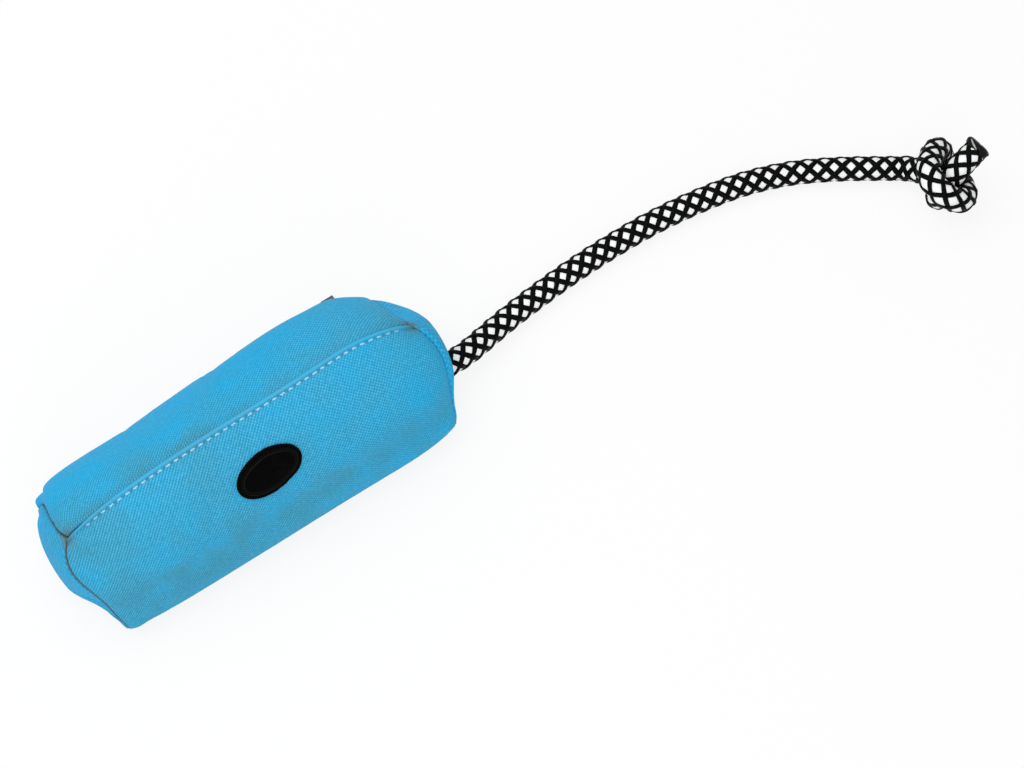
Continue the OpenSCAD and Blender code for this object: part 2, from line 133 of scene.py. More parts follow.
def panel_form(panel, u, t, fullness=1.0, slack=1.0):
    """Points of the back (0), base (1) or front (2) panel at places u along and shares t across."""
    back_crown = PANEL_CROWN * between(BACK_SHARES, (u + 1) * 2)[:, None]
    u, t = np.meshgrid(u, t, indexing="ij")
    upper, lower = seam_line(panel, u), seam_line(panel + 1, u)
    across = unit((lower - upper) * (0, 1, 1))
    out = np.stack([0 * u, -across[..., 2], across[..., 1]], -1)
    end_crown = END_CROWN
    if panel == 0:
        # full up to both ends, with a shoulder above the tab
        crown, kept = back_crown, fall(u, np.where(u < 0, BACK_CLOSED_POWER, BACK_ROPE_POWER))
        lean = 1 - (1 - t) ** BACK_SWELL_LEAN
        end_crown = np.where(u < 0, BACK_CLOSED_CROWN, BACK_ROPE_CROWN)
        relief = SHOULDER_HEIGHT * hump(u - SHOULDER_AT, SHOULDER_REACH) * np.sin(math.pi * t)
    elif panel == 1:
        crown, kept, lean, relief = BASE_CROWN, fall(u, SIDE_POWER), t, 0
    else:
        # a slack valley a quarter of the way up, and a lobe over the rope end's ear
        crown, kept = PANEL_CROWN * (1 + FULLER_ROPE_HALF * u), fall(u, SIDE_POWER)
        lean = t ** np.where(u < 0, CLOSED_SWELL_LEAN, ROPE_SWELL_LEAN)
        relief = FRONT_LOBE * hump(u - LOBE_AT[0], LOBE_REACH[0]) * hump(t - LOBE_AT[1], LOBE_REACH[1])
        relief = relief - VALLEY_DEPTH * hump(t - VALLEY_AT, VALLEY_REACH) * fall(u, VALLEY_POWER)
    profile = (4 * t * (1 - t)) ** (END_BLUNT + (MID_BLUNT - END_BLUNT) * fall(u, EDGE_POWER))
    lift = fullness * (end_crown + (crown - end_crown) * kept) * profile + slack * relief
    points = upper + (lower - upper) * t[..., None] + out * lift[..., None]
    swell = u * np.abs(u) * np.where(u < 0, CLOSED_SWELL[panel], ROPE_SWELL[panel])
    points[..., 0] += swell * np.sin(math.pi * lean)
    for end, side, pull, reach in EAR_PULLS:
        ear = np.array([end * HALF_LENGTH, side * EAR_HALF_WIDTH, EAR_HEIGHT])
        near = hump(np.linalg.norm(points - ear, axis=-1), reach)
        points = points + near[..., None] * np.array(pull)
    from_end_seam = (1 - np.abs(u)) * HALF_LENGTH
    return drawn_in(points, SEAM_DRAW * np.sin(math.pi * t) * hump(from_end_seam, SEAM_DRAW_REACH))


def drawn_in(points, distance):
    """Moves points towards the line inside the body that the seams are pulled to."""
    heart = np.zeros(points.shape)
    heart[..., 0] = np.clip(points[..., 0], -HEART_HALF_LENGTH, HEART_HALF_LENGTH)
    heart[..., 2] = HEART_HEIGHT
    points = points + unit(heart - points) * np.asarray(distance)[..., None]
    points[..., 2] = np.maximum(points[..., 2], 0)
    return points


def filled(side, y, z):
    """How full an end panel is: slack by the ears and fuller high up in the rope end."""
    if side < 0:
        return 1 - CLOSED_FRONT_SLACK * eased((-y - 8) / 22) - CLOSED_BACK_SLACK * eased((y - 24) / 10)
    slack = ROPE_FRONT_SLACK * eased((-y - 20) / 14)
    return 1 - slack + ROPE_TOP_FILL * eased((z - 26) / 20) + ROPE_BACK_FILL * eased((y - 6) / 14)


def end_form(side, depth, t, fullness=1.0, slack=1.0):
    """Points of an end panel: a dome from its seam (depth 0) to its crown (depth 1)."""
    rim = np.concatenate([panel_form(k, np.array([float(side)]), t, 1.0, slack)[0, :-1] for k in range(3)])
    share = np.tile(t[:-1], 3)
    reach = 1 - np.asarray(depth)[:, None] ** 2
    inner = (1 - reach) / 3
    rise = (27 * inner * (inner + reach * share) * (inner + reach * (1 - share))) ** DOME_POWER
    bulge = fullness * (CLOSED_BULGE if side < 0 else ROPE_BULGE)
    crown = np.array([side * (HALF_LENGTH + bulge), 0, DOME_HEIGHT])
    points = np.empty(rise.shape + (3,))
    points[..., 1:] = crown[1:] + (rim[:, 1:] - crown[1:]) * reach[..., None]
    points[..., 0] = rim[:, 0] + (crown[0] - rim[:, 0]) * rise * filled(side, points[..., 1], points[..., 2])
    return points


def net_faces(rows, columns, closed=True, start=0):
    """Quads of a net of points that runs row by row, facing out of the body."""
    i, j = np.meshgrid(np.arange(rows - 1), np.arange(columns if closed else columns - 1), indexing="ij")
    k = (j + 1) % columns
    quads = np.stack([i * columns + j, i * columns + k, (i + 1) * columns + k, (i + 1) * columns + j], -1)
    return (quads.reshape(-1, 4) + start).tolist()


def fans(columns, pole):
    """Triangles from a net's first and last row to two middle points, numbered after the net's own."""
    last = pole - columns
    faces = []
    for j in range(columns):
        k = (j + 1) % columns
        faces.append([k, j, pole])
        faces.append([last + j, last + k, pole + 1])
    return faces


def tube_faces(rings, sides, start=0):
    """Faces of a tube of rings and of its two ends, from the number of its first point."""
    last = start + (rings - 1) * sides
    ends = [list(range(start + sides - 1, start - 1, -1)), list(range(last, last + sides))]
    return net_faces(rings, sides, True, start) + ends


def around(count):
    """Angles in equal steps round a circle."""
    return np.arange(count) / count * 2 * math.pi


def body_shell(places, shares, depths, fullness, slack=1.0):
    """One closed skin of the whole body: both end domes and the three long panels, welded."""
    sides = np.concatenate([panel_form(k, places, shares, fullness, slack)[:, :-1] for k in range(3)], axis=1)
    closed_end = end_form(-1, depths[:0:-1], shares, fullness, slack)
    rope_end = end_form(1, depths[1:], shares, fullness, slack)
    net = np.concatenate([closed_end[1:], sides, rope_end[:-1]])
    rows, columns = net.shape[:2]
    points = np.concatenate([net.reshape(-1, 3), closed_end[0, :1], rope_end[-1, :1]])
    return points, net_faces(rows, columns) + fans(columns, rows * columns), net.shape[:2]


def new_piece(name, points, faces):
    """A mesh piece from points in millimetres."""
    mesh = bpy.data.meshes.new(name)
    mesh.from_pydata((np.asarray(points) * MM).tolist(), [], faces)
    skin = bmesh.new()
    skin.from_mesh(mesh)
    bmesh.ops.recalc_face_normals(skin, faces=skin.faces)
    skin.to_mesh(mesh)
    skin.free()
    mesh.polygons.foreach_set("use_smooth", [True] * len(mesh.polygons))
    piece = bpy.data.objects.new(name, mesh)
    bpy.context.scene.collection.objects.link(piece)
    return piece


def linear(code):
    """An sRGB hex colour as linear red, green, blue and alpha."""
    parts = [int(code[i:i + 2], 16) / 255 for i in (1, 3, 5)]
    return tuple(c / 12.92 if c <= 0.04045 else ((c + 0.055) / 1.055) ** 2.4 for c in parts) + (1.0,)


def feed(node, feeds):
    """Gives a node's sockets values or links; a hex colour is made linear, a node stands for its result."""
    for key, value in feeds.items():
        if isinstance(value, bpy.types.Node):
            value = next(socket for socket in value.outputs if socket.enabled)
        if isinstance(value, bpy.types.NodeSocket):
            node.id_data.links.new(value, node.inputs[key])
        else:
            node.inputs[key].default_value = linear(value) if isinstance(value, str) else value


def wire(tree, kind, feeds=None, **settings):
    """Adds one shader node with its settings, values and links."""
    node = tree.nodes.new("ShaderNode" + kind)
    for name, value in settings.items():
        setattr(node, name, value)
    feed(node, feeds or {})
    return node


def new_finish(name):
    """An empty material with its node tree and its shader."""
    finish = bpy.data.materials.new(name)
    finish.use_nodes = True
    return finish, finish.node_tree, finish.node_tree.nodes["Principled BSDF"]


foam_net = np.linspace(-1, 1, 45), np.linspace(0, 1, 17), np.linspace(0, 1, 8)
points, faces, _ = body_shell(*foam_net, FOAM_FULLNESS)
foam_core = new_piece("foam_block", drawn_in(points, np.full(len(points), FOAM_BELOW_COVER)), faces)

ROPE_EXIT = np.array([106, -12.1, 16.5])
EXIT_HEADING = unit(np.array([8, 0.7, -2]))
ANCHOR_LENGTH = 34
BORE_RADIUS, BORE_SPARE = 6.2, 10
# the stop knot's pocket, beside the place where the rope enters the knot
POCKET_RADIUS, POCKET_LENGTH, POCKET_IN, POCKET_ASIDE, POCKET_UP = 23.6, 42, 0.5, 11.7, 12.3
DRILL_SIDES = 48
inward = -EXIT_HEADING
sideways = unit(np.cross((0, 0, 1), inward))
upward = np.cross(inward, sideways)
stop_entry = ROPE_EXIT + inward * ANCHOR_LENGTH
pocket_start = stop_entry + inward * POCKET_IN - sideways * POCKET_ASIDE + upward * POCKET_UP


def drilled(piece, start, way, length, radius):
    """Drills a round hole into a piece."""
    angle = around(DRILL_SIDES)
    ring = (sideways * np.cos(angle)[:, None] + upward * np.sin(angle)[:, None]) * radius
    rings = np.concatenate([start + ring, start + way * length + ring])
    drill = new_piece("drill", rings, tube_faces(2, DRILL_SIDES))
    cut = piece.modifiers.new("hole", "BOOLEAN")
    cut.object, cut.operation, cut.solver = drill, "DIFFERENCE", "EXACT"
    bpy.context.view_layer.update()
    piece.data = bpy.data.meshes.new_from_object(piece.evaluated_get(bpy.context.evaluated_depsgraph_get()))
    piece.modifiers.clear()
    bpy.data.objects.remove(drill)


drilled(foam_core, stop_entry + inward, EXIT_HEADING, ANCHOR_LENGTH + BORE_SPARE, BORE_RADIUS)
drilled(foam_core, pocket_start, inward, POCKET_LENGTH, POCKET_RADIUS)

# Open-cell foam: matt cream with pores of about a millimetre that break up its surface.
PORE, PORE_DEPTH = 1.1, 0.6
foam_finish, tree, shader = new_finish("cut_polyurethane_foam")
place = wire(tree, "TexCoord").outputs["Object"]
pores = wire(tree, "TexVoronoi", {"Vector": place, "Scale": 1 / (PORE * MM)}).outputs["Distance"]
shades = wire(tree, "Mix", {"Factor": pores, 6: "#cfc6ac", 7: "#efe9d6"}, data_type="RGBA")
dents = wire(tree, "Bump", {"Height": pores, "Strength": 0.6, "Distance": PORE_DEPTH * MM})
feed(shader, {"Base Color": shades, "Roughness": 0.95, "Normal": dents})
foam_core.data.materials.append(foam_finish)
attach(foam_core, "bumper")
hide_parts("foam_core")


# COVER PANELS
# Three long panels and two domed triangular ends of coated woven polyester, sewn face to
# face and turned, so that both edges dive into each seam. The stuffing swells them, and
# their net is blown up as cloth with the seams held.

FABRIC_THICK, YARN_PITCH, YARN_RELIEF, SLUB, PATCH = 0.9, 0.94, 0.2, 1.8, 18
SLACK_START, SWELL_FRAMES, SWELL_LIMIT = 0.985, 20, 2.0
# seams: the radius at which fabric turns in and the depth it goes to, deeper at the ends
SEAM_TURN, SEAM_DEPTH, END_SEAM_DEPTH, END_ZONE, END_ZONE_RUN = 1.2, 1.1, 2.1, 84, 6
CREASE_DEPTH, CREASE_REACH, RIDGE_DIVE, RIDGE_SHALLOWER = 1.5, 4.5, 0.2, 0.8
ROLL_WIDTH, ROLL_HEIGHT = 2.5, 1.0
STITCH_PITCH, STITCH_INSET, FURROW_DEPTH, FURROW_REACH = 4.4, 3.0, 0.4, 0.7
PUCKER_PITCH = 1.4
DENT_DEPTH, DENT_AT, DENT_REACH = 1.3, (-0.957, 0.27), (0.035, 0.03)
PANEL_STEPS = 30
COARSE_PLACES = np.linspace(-1, 1, 75)
COARSE_SHARES = np.linspace(0, 1, PANEL_STEPS + 1)
COARSE_DEPTHS = np.linspace(0, 1, 13)


def blown_up():
    """How far stuffing pushes each point of the coarse net, by a cloth simulation."""
    skin, quads, shape = body_shell(COARSE_PLACES, COARSE_SHARES, COARSE_DEPTHS, 1.0, 0.0)
    start, _, _ = body_shell(COARSE_PLACES, COARSE_SHARES, COARSE_DEPTHS, SLACK_START, 0.0)
    rows, columns = shape
    ends = len(COARSE_DEPTHS) - 2
    cloth = new_piece("cover_blank", start, quads)
    grid = np.arange(rows * columns).reshape(shape)
    seams = set(grid[ends:rows - ends, ::columns // 3].ravel().tolist())
    seams |= set(grid[ends].tolist()) | set(grid[rows - 1 - ends].tolist())
    held = cloth.vertex_groups.new(name="seams")
    held.add(sorted(int(n) for n in seams), 1.0, "REPLACE")
    blow = cloth.modifiers.new("stuffing", "CLOTH")
    blow.settings.quality = 6
    blow.settings.mass = 0.2
    blow.settings.tension_stiffness = 20
    blow.settings.compression_stiffness = 20
    blow.settings.bending_stiffness = 1.0
    blow.settings.shrink_min = -0.004
    blow.settings.vertex_group_mass = "seams"
    blow.settings.use_pressure = True
    blow.settings.uniform_pressure_force = 4
    blow.settings.effector_weights.gravity = 0
    for step in range(1, SWELL_FRAMES + 1):
        bpy.context.scene.frame_set(step)
    blown = cloth.evaluated_get(bpy.context.evaluated_depsgraph_get()).data
    end = np.empty(len(start) * 3)
    blown.vertices.foreach_get("co", end)
    start = end.reshape(-1, 3) / MM
    bpy.context.scene.frame_set(1)
    bpy.data.objects.remove(cloth)
    push = start - skin
    size = np.linalg.norm(push, axis=1, keepdims=True)
    push *= np.minimum(1, SWELL_LIMIT / np.maximum(size, 1e-6))
    net = push[:-2].reshape(shape + (3,))
    sides = net[ends:rows - ends]
    sides[[0, -1]] = 0
    sides[:, ::columns // 3] = 0
    return net[:ends], sides, net[rows - ends:], push[-2], push[-1]


push_closed, push_sides, push_rope, push_closed_pole, push_rope_pole = blown_up()


def crowded(count, share):
    """Steps from 0 to 1 that crowd towards both ends, where the seams turn in."""
    v = np.linspace(0, 1, count)
    return v - share * np.sin(2 * math.pi * v) / (2 * math.pi)


shares = crowded(57, 0.86)
places = crowded(141, 0.72) * 2 - 1


def run_length(points, axis):
    """Length along a net from its first row or column."""
    steps = np.linalg.norm(np.diff(points, axis=axis), axis=-1)
    return np.concatenate([np.zeros_like(np.take(steps, [0], axis)), np.cumsum(steps, axis)], axis)


def net_normals(points, closed=False):
    """Outward directions of a net of rows along +X and columns round the body."""
    if closed:
        points = np.concatenate([points[:, -1:], points, points[:, :1]], axis=1)
    facing = unit(np.cross(np.gradient(points, axis=0), np.gradient(points, axis=1)))
    return facing[:, 1:-1] if closed else facing


def turned(first, second, radius):
    """Share of a seam's depth at two distances from seams that fabric turns into in a quarter round."""
    near = (np.clip(radius - first, 0, None) ** 2 + np.clip(radius - second, 0, None) ** 2) / radius ** 2
    return 1 - np.sqrt(np.clip(1 - near, 0, None))


def by_end(points):
    """How much points belong to the closed end and to the rope end."""
    x = points[..., 0]
    return eased((-x - END_ZONE) / END_ZONE_RUN), eased((x - END_ZONE) / END_ZONE_RUN)


def seam_depth(points):
    """How deep the seams lie: deep at the closed end and at the back of the rope end, else shallow."""
    x, y, z = points[..., 0], points[..., 1], points[..., 2]
    closed, rope = by_end(points)
    above_ear, behind = eased((z - 8) / 14), eased((y + 8) / 12)
    extra = above_ear * (closed + rope * (1.5 * behind - 0.6))
    ridge = eased((z - 58) / 4) * eased((90 - np.abs(x)) / 6)
    return SEAM_DEPTH + (END_SEAM_DEPTH - SEAM_DEPTH) * extra - RIDGE_SHALLOWER * ridge


def painted_seam_shade(points, from_seam):
    """How much painted shade darkens the end seams' creases: most where three seams meet."""
    y, z = points[..., 1], points[..., 2]
    closed, rope = by_end(points)
    along_seams = 0.9 * closed * eased((z - 2) / 24) + 0.6 * rope * eased((y + 8) / 12)
    return np.clip(along_seams * hump(from_seam, 0.7) + 0.8 * hump(from_ridge_end(points), 4), 0, 0.9)


def from_ridge_end(points):
    """Distance from the nearer end of the ridge, where three seams meet in a deep crease."""
    ends = [np.linalg.norm(points - seam_line(0, np.array(end)), axis=-1) for end in (-1.0, 1.0)]
    return np.minimum(*ends)


def store(piece, name, values):
    """Keeps one or three numbers at each point of a piece, for its material to read."""
    kind, field = ("FLOAT", "value") if values.ndim == 1 else ("FLOAT_VECTOR", "vector")
    layer = piece.data.attributes.new(name, kind, "POINT")
    layer.data.foreach_set(field, values.astype(np.float32).ravel())


def with_lining(name, outer, faces, facing, marks):
    """A sheet of real thickness from its outer points, with closed edges and marks at each point."""
    count = len(outer)
    edges = dict.fromkeys((a, b) for face in faces for a, b in zip(face, face[1:] + face[:1]))
    rim = [[b, a, a + count, b + count] for a, b in edges if (b, a) not in edges]
    lining = [[n + count for n in reversed(face)] for face in faces]
    piece = new_piece(name, np.concatenate([outer, outer - facing * FABRIC_THICK]), faces + lining + rim)
    for mark, values in marks.items():
        store(piece, mark, np.concatenate([values, values]))
    return piece


# Polyester yarn in a plain weave with a thin coating. The yarn crowns stand in slanting
# columns of short light dashes with darker gaps between them, more even towards the rope
# end; a painted sheen, strongest on the front panel, makes the crowns paler and chalkier
# where the front lamp would reflect. Where the stuffing strains the weave, the gaps open
# to the grey backing, and painted shade greys them further in the creases and in the front
# panel's valley. The ridge's roll is pulled smooth, painted shade shows as dark strokes at
# the stitch holes and puckers beside it, and the end seams' creases are painted darker as shade.
cover_finish, tree, shader = new_finish("coated_woven_polyester")
body_place = wire(tree, "TexCoord").outputs["Object"]
body_x = wire(tree, "SeparateXYZ", {0: body_place}).outputs[0]
marks = ("weave_mm", "strain_and_painted_light", "sewn")
marked = [wire(tree, "Attribute", attribute_name=mark).outputs["Vector"] for mark in marks]
weave_place = marked[0]
weave_parts, strain_and_painted_light, sewn = (wire(tree, "SeparateXYZ", {0: place}).outputs for place in marked)
slants = []
for kind in ("SUBTRACT", "ADD"):
    slant = wire(tree, "Math", {0: weave_parts[0], 1: weave_parts[1]}, operation=kind)
    slant = wire(tree, "Math", {0: slant, 1: math.pi / YARN_PITCH}, operation="MULTIPLY")
    slants.append(wire(tree, "Math", {0: slant}, operation="COSINE"))
lopsided = wire(tree, "MapRange", {0: body_x, 1: -0.07, 2: 0.06, 3: 0.78, 4: 0.56})
dashes = wire(tree, "Mix", {0: lopsided, 2: slants[1], 3: slants[0]})
slubs = wire(tree, "TexNoise", {"Vector": weave_place, "Scale": 1 / SLUB, "Detail": 2.0})
slubs = wire(tree, "MapRange", {0: slubs, 1: 0.3, 2: 0.7, 3: -0.35, 4: 0.35})
crowns = wire(tree, "Math", {0: dashes, 1: slubs}, operation="ADD")
crowns = wire(tree, "Mix", {0: sewn[0], 2: crowns, 3: 0.5})
above = wire(tree, "MapRange", {0: crowns, 1: 0.0, 2: 1.3})
below = wire(tree, "MapRange", {0: crowns, 1: 0.0, 2: -1.3})
patches = wire(tree, "TexNoise", {"Vector": body_place, "Scale": 1 / (PATCH * MM), "Detail": 2.0})
# painted sheen: the crowns are mixed paler and chalkier by a per-point share and in random patches, standing
# in for the front lamp's reflection
patchy_painted_sheen = wire(tree, "MapRange", {0: patches, 1: 0.32, 2: 0.68, 3: -0.3, 4: 0.3})
patchy_painted_sheen = wire(tree, "Math", {0: strain_and_painted_light[0], 1: patchy_painted_sheen}, operation="ADD", use_clamp=True)
# the gaps open greyer where the weave is strained, and turn greyer as painted shade in creases and in the
# front panel's valley
opened_and_shaded = wire(tree, "MapRange", {0: patches, 1: 0.35, 2: 0.62, 3: 0.3, 4: 1.2})
opened_and_shaded = wire(tree, "Math", {0: strain_and_painted_light[1], 1: opened_and_shaded}, operation="MULTIPLY")
greyed_and_shaded = wire(tree, "Math", {0: opened_and_shaded, 1: 0.28}, operation="MULTIPLY")
strokes = []
# painted shade: dark strokes between the stitches at their holes, and finer strokes at the puckers
for pitch, low, high, mark in ((STITCH_PITCH, -0.15, -0.8, sewn[1]), (PUCKER_PITCH, 0.1, 0.9, sewn[2])):
    stroke = wire(tree, "Math", {0: body_x, 1: 2 * math.pi / (pitch * MM)}, operation="MULTIPLY")
    stroke = wire(tree, "Math", {0: stroke}, operation="COSINE")
    stroke = wire(tree, "MapRange", {0: stroke, 1: low, 2: high})
    strokes.append(wire(tree, "Math", {0: stroke, 1: mark}, operation="MULTIPLY"))
painted_stroke_shade = wire(tree, "Math", {0: strokes[0], 1: strokes[1]}, operation="MAXIMUM")
# each tone lies between two others, which are hex colours or tones named above it
tones = {}
for tone, share, first, second in (
        ("mean yarn", patchy_painted_sheen, "#1ea9de", "#2ea2cd"), ("crown", patchy_painted_sheen, "#3fbdee", "#6cc1e7"),
        ("tight gap", patchy_painted_sheen, "#0c9ad1", "#1a8db8"), ("gap", opened_and_shaded, "tight gap", "#3c7c8a"),
        ("lit yarn", above, "mean yarn", "crown"), ("weave", below, "lit yarn", "gap"),
        ("strained and shaded weave", greyed_and_shaded, "weave", "#35899f"),
        ("stroke shaded weave", painted_stroke_shade, "strained and shaded weave", "#44707c"),
        ("seam shaded weave", strain_and_painted_light[2], "stroke shaded weave", "#5e6a62")):
    first, second = tones.get(first, first), tones.get(second, second)
    tones[tone] = wire(tree, "Mix", {"Factor": share, 6: first, 7: second}, data_type="RGBA")
yarns = wire(tree, "Bump", {"Height": crowns, "Strength": 0.4, "Distance": YARN_RELIEF * MM})
feed(shader, {"Base Color": tones["seam shaded weave"], "Roughness": 0.72, "Normal": yarns,
              "IOR": 1.5, "Specular IOR Level": 0.12,
              "Sheen Weight": 0.03, "Sheen Roughness": 0.5, "Sheen Tint": "#bfe6f7"})

panel_names = ("back_cover", "base_cover", "front_cover")
cad_names = ("back_panel", "base_panel", "front_panel")
cover_nets = {}
for panel in range(3):
    coarse_columns = (panel * PANEL_STEPS + np.arange(PANEL_STEPS + 1)) % (3 * PANEL_STEPS)
    push = between(push_sides[:, coarse_columns], (places + 1) / 2 * (len(COARSE_PLACES) - 1))
    push = between(push.swapaxes(0, 1), shares * PANEL_STEPS).swapaxes(0, 1)
    net = panel_form(panel, places, shares) + push
    net[..., 2] = np.maximum(net[..., 2], 0)
    across, along = run_length(net, 1), run_length(net, 0)
    from_first, from_last = across, across[:, -1:] - across
    from_end = np.minimum(along, along[-1:] - along)
    crease = from_ridge_end(net)
    drawn = seam_depth(net) * turned(np.minimum(from_first, from_last), from_end, SEAM_TURN)
    sink = 0 * across
    # per point: a painted sheen share, and a strained-weave share that also carries painted shade
    painted_sheen, strain_and_painted_shade = np.full(across.shape, 0.5), np.full(across.shape, 0.3)
    roll, needle_shade, pucker_shade = 0 * across, 0 * across, 0 * across
    closed_half, rope_half = eased(0.5 - places)[:, None], eased((places - 0.1) / 0.8)[:, None]
    if panel == 0:
        # the back panel dives under the ridge's roll and has a dent by the crease; its puckers by the roll
        # are painted shade in dark strokes
        drawn += RIDGE_DIVE * hump(from_first, 3.5)
        dent = hump(places - DENT_AT[0], DENT_REACH[0])[:, None] * hump(shares - DENT_AT[1], DENT_REACH[1])
        sink += DENT_DEPTH * dent
        # painted sheen near the ridge and towards the rope end
        painted_sheen = 0.08 + 0.5 * rope_half + 0.65 * hump(from_first, 16)
        # strained weave by the ridge, where the back panel dives under the roll, partly painted shade there
        strain_and_painted_shade = (0.5 + 0.35 * closed_half) * hump(from_first, 16)
        # painted shade: pucker strokes beside the roll, stronger towards the closed end
        pucker_shade = (0.3 + 0.45 * closed_half) * hump(from_first - 1, 3.6)
    if panel == 2:
        # the ridge: the seam allowance is folded under and sewn down, so a roll stands
        # beside the crease, and the stitch row pulls a shallow furrow
        drawn += RIDGE_DIVE * hump(from_last, 0.8)
        sink -= ROLL_HEIGHT * np.sin(math.pi * np.clip(from_last / ROLL_WIDTH, 0, 1))
        furrow = hump(from_last - STITCH_INSET, FURROW_REACH)
        sink += FURROW_DEPTH * furrow
        # painted sheen: strongest on the front panel, which faces the front lamp
        painted_sheen = 0 * across + 0.85 - 0.35 * rope_half
        # painted shade in the valley a quarter of the way up, on top of the strained weave
        strain_and_painted_shade = 0.2 + 0.4 * closed_half + 0.8 * hump(shares - 0.25, 0.12)
        roll = 1 - eased((from_last - ROLL_WIDTH + 0.4) / 0.6)
        # painted shade in the stitch holes along the furrow
        needle_shade = 0.6 * furrow * eased((86 - np.abs(net[..., 0])) / 2)
        ridge_from = from_last
    # painted shade: greyer gaps in the deep crease where three seams meet, and darker seams
    strain_and_painted_shade, seam_crease_shade = np.clip(strain_and_painted_shade + 0.8 * hump(crease, 11), 0, 1), painted_seam_shade(net, from_end)
    drawn += CREASE_DEPTH * hump(crease, CREASE_REACH)
    net = drawn_in(net - net_normals(net) * sink[..., None], drawn)
    facing = net_normals(net)
    # the weave is measured from the panel's middle
    centre, middle = net.shape[0] // 2, net.shape[1] // 2
    along_weave, across_weave = along - along[centre], across - across[:, middle:middle + 1]
    marks = {"weave_mm": (along_weave, across_weave, 0 * across), "strain_and_painted_light": (painted_sheen, strain_and_painted_shade, seam_crease_shade),
             "sewn": (roll, needle_shade, pucker_shade)}
    marks = {mark: np.stack(values, -1).reshape(-1, 3) for mark, values in marks.items()}
    cover = with_lining(panel_names[panel], net.reshape(-1, 3), net_faces(*net.shape[:2], closed=False),
                        facing.reshape(-1, 3), marks)
    cover.data.materials.append(cover_finish)
    cover_nets[panel] = net
    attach(cover, "bumper")
    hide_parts(cad_names[panel])

depths = np.concatenate([[0], 0.02 + 0.98 * np.linspace(0, 1, 25) ** 1.1])
ROPE_HOLE, HOLE_TURN, HOLE_MARGIN, BY_HOLE = 6.3, 1.2, 0.9, 12
END_WEAVE, END_WEAVE_TURN, NO_SEAM = 0.6, 0.75 * math.pi, 99
for side, push_net, pole_push, name, cad_name in (
        (-1, push_closed[::-1], push_closed_pole, "closed_end_cover", "end_panel_closed"),
        (1, push_rope, push_rope_pole, "rope_end_cover", "end_panel_rope")):
    push = np.concatenate([0 * push_net[:1], push_net, np.broadcast_to(pole_push, push_net[:1].shape)])
    push = between(push, depths * (len(COARSE_DEPTHS) - 1))
    coarse_columns = np.concatenate([(panel + shares[:-1]) * PANEL_STEPS for panel in range(3)])
    round_push = np.concatenate([push, push[:, :2]], axis=1)
    push = between(round_push.swapaxes(0, 1), coarse_columns).swapaxes(0, 1)
    net = end_form(side, depths, shares) + push
    in_from_seam = run_length(net, 0)
    if side < 0:
        net, in_from_seam = net[::-1], in_from_seam[::-1]
    crease = from_ridge_end(net)
    # painted shade in the end seams' creases
    seam_crease_shade = painted_seam_shade(net, in_from_seam)
    drawn = seam_depth(net) * turned(in_from_seam, NO_SEAM, SEAM_TURN)
    drawn += RIDGE_DIVE * hump(crease, 0.8) + CREASE_DEPTH * hump(crease, CREASE_REACH)
    net = drawn_in(net, drawn)
    pole_row = 0 if side < 0 else -1
    facing = net_normals(net, closed=True)
    facing[pole_row] = (side, 0, 0)
    out_from_pole = in_from_seam[pole_row] - in_from_seam
    # the ends are cut on the cross, so that their columns of dashes run level over the dome;
    # the dashes are drawn larger there, so that they show at the dome's slant
    aside, height = (net[..., axis] - net[pole_row, 0, axis] for axis in (1, 2))
    angle = np.arctan2(height, aside) - END_WEAVE_TURN
    weave = END_WEAVE * out_from_pole
    # a little painted sheen on the ends, and painted shade by the crease where three seams meet
    marks = {"weave_mm": (weave * np.cos(angle), weave * np.sin(angle), 0 * angle),
             "strain_and_painted_light": (0 * angle + 0.15, 0.2 + 0.6 * hump(crease, 9), seam_crease_shade)}
    rows, columns = net.shape[:2]
    outer, facing = net.reshape(-1, 3), facing.reshape(-1, 3)
    quads = net_faces(rows, columns)
    # the row of points at the crown becomes one point
    pole_first = 0 if side < 0 else (rows - 1) * columns
    pole_points = set(range(pole_first, pole_first + columns))
    merged = [[n if n not in pole_points else pole_first for n in quad] for quad in quads]
    merged = [list(dict.fromkeys(quad)) for quad in merged]
    if side > 0:
        offset = outer - ROPE_EXIT
        beside = offset - (offset @ EXIT_HEADING)[:, None] * EXIT_HEADING
        apart = np.linalg.norm(beside, axis=1)
        merged = [face for face in merged if min(apart[n] for n in face) > ROPE_HOLE - HOLE_MARGIN]
        used = {(a, b) for face in merged for a, b in zip(face, face[1:] + face[:1])}
        rim = sorted({n for a, b in used if (b, a) not in used for n in (a, b) if apart[n] < BY_HOLE})
        outer[rim] += beside[rim] / apart[rim, None] * (ROPE_HOLE - apart[rim, None])
        apart[rim] = ROPE_HOLE
        outer -= facing * HOLE_TURN * turned(apart - ROPE_HOLE, NO_SEAM, HOLE_TURN)[:, None]
    kept = sorted({n for face in merged for n in face})
    number = {n: i for i, n in enumerate(kept)}
    merged = [[number[n] for n in face] for face in merged]
    marks = {mark: np.stack(values, -1).reshape(-1, 3)[kept] for mark, values in marks.items()}
    cover = with_lining(name, outer[kept], merged, facing[kept], marks)
    cover.data.materials.append(cover_finish)
    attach(cover, "bumper")
    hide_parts(cad_name)


# RIDGE TOPSTITCH
# A row of lockstitches in pale twisted polyester thread, through the folded seam allowance
# on the front panel beside the ridge. Each stitch dives into the cloth at both ends.

STITCH_COUNT, STITCH_LENGTH, STITCH_RINGS = 39, 2.5, 11
STITCH_ARCH, STITCH_SUNK = 0.65, 0.45
THREAD_HALF_WIDTH, THREAD_HALF_THICK, TUBE_SIDES = 0.54, 0.36, 8
ROW_OUT = np.array([0, -0.35, 0.94])
row = np.array([[np.interp(-STITCH_INSET, -ridge_from[i], cover_nets[2][i, :, axis]) for axis in range(3)]
                for i in range(len(places))])


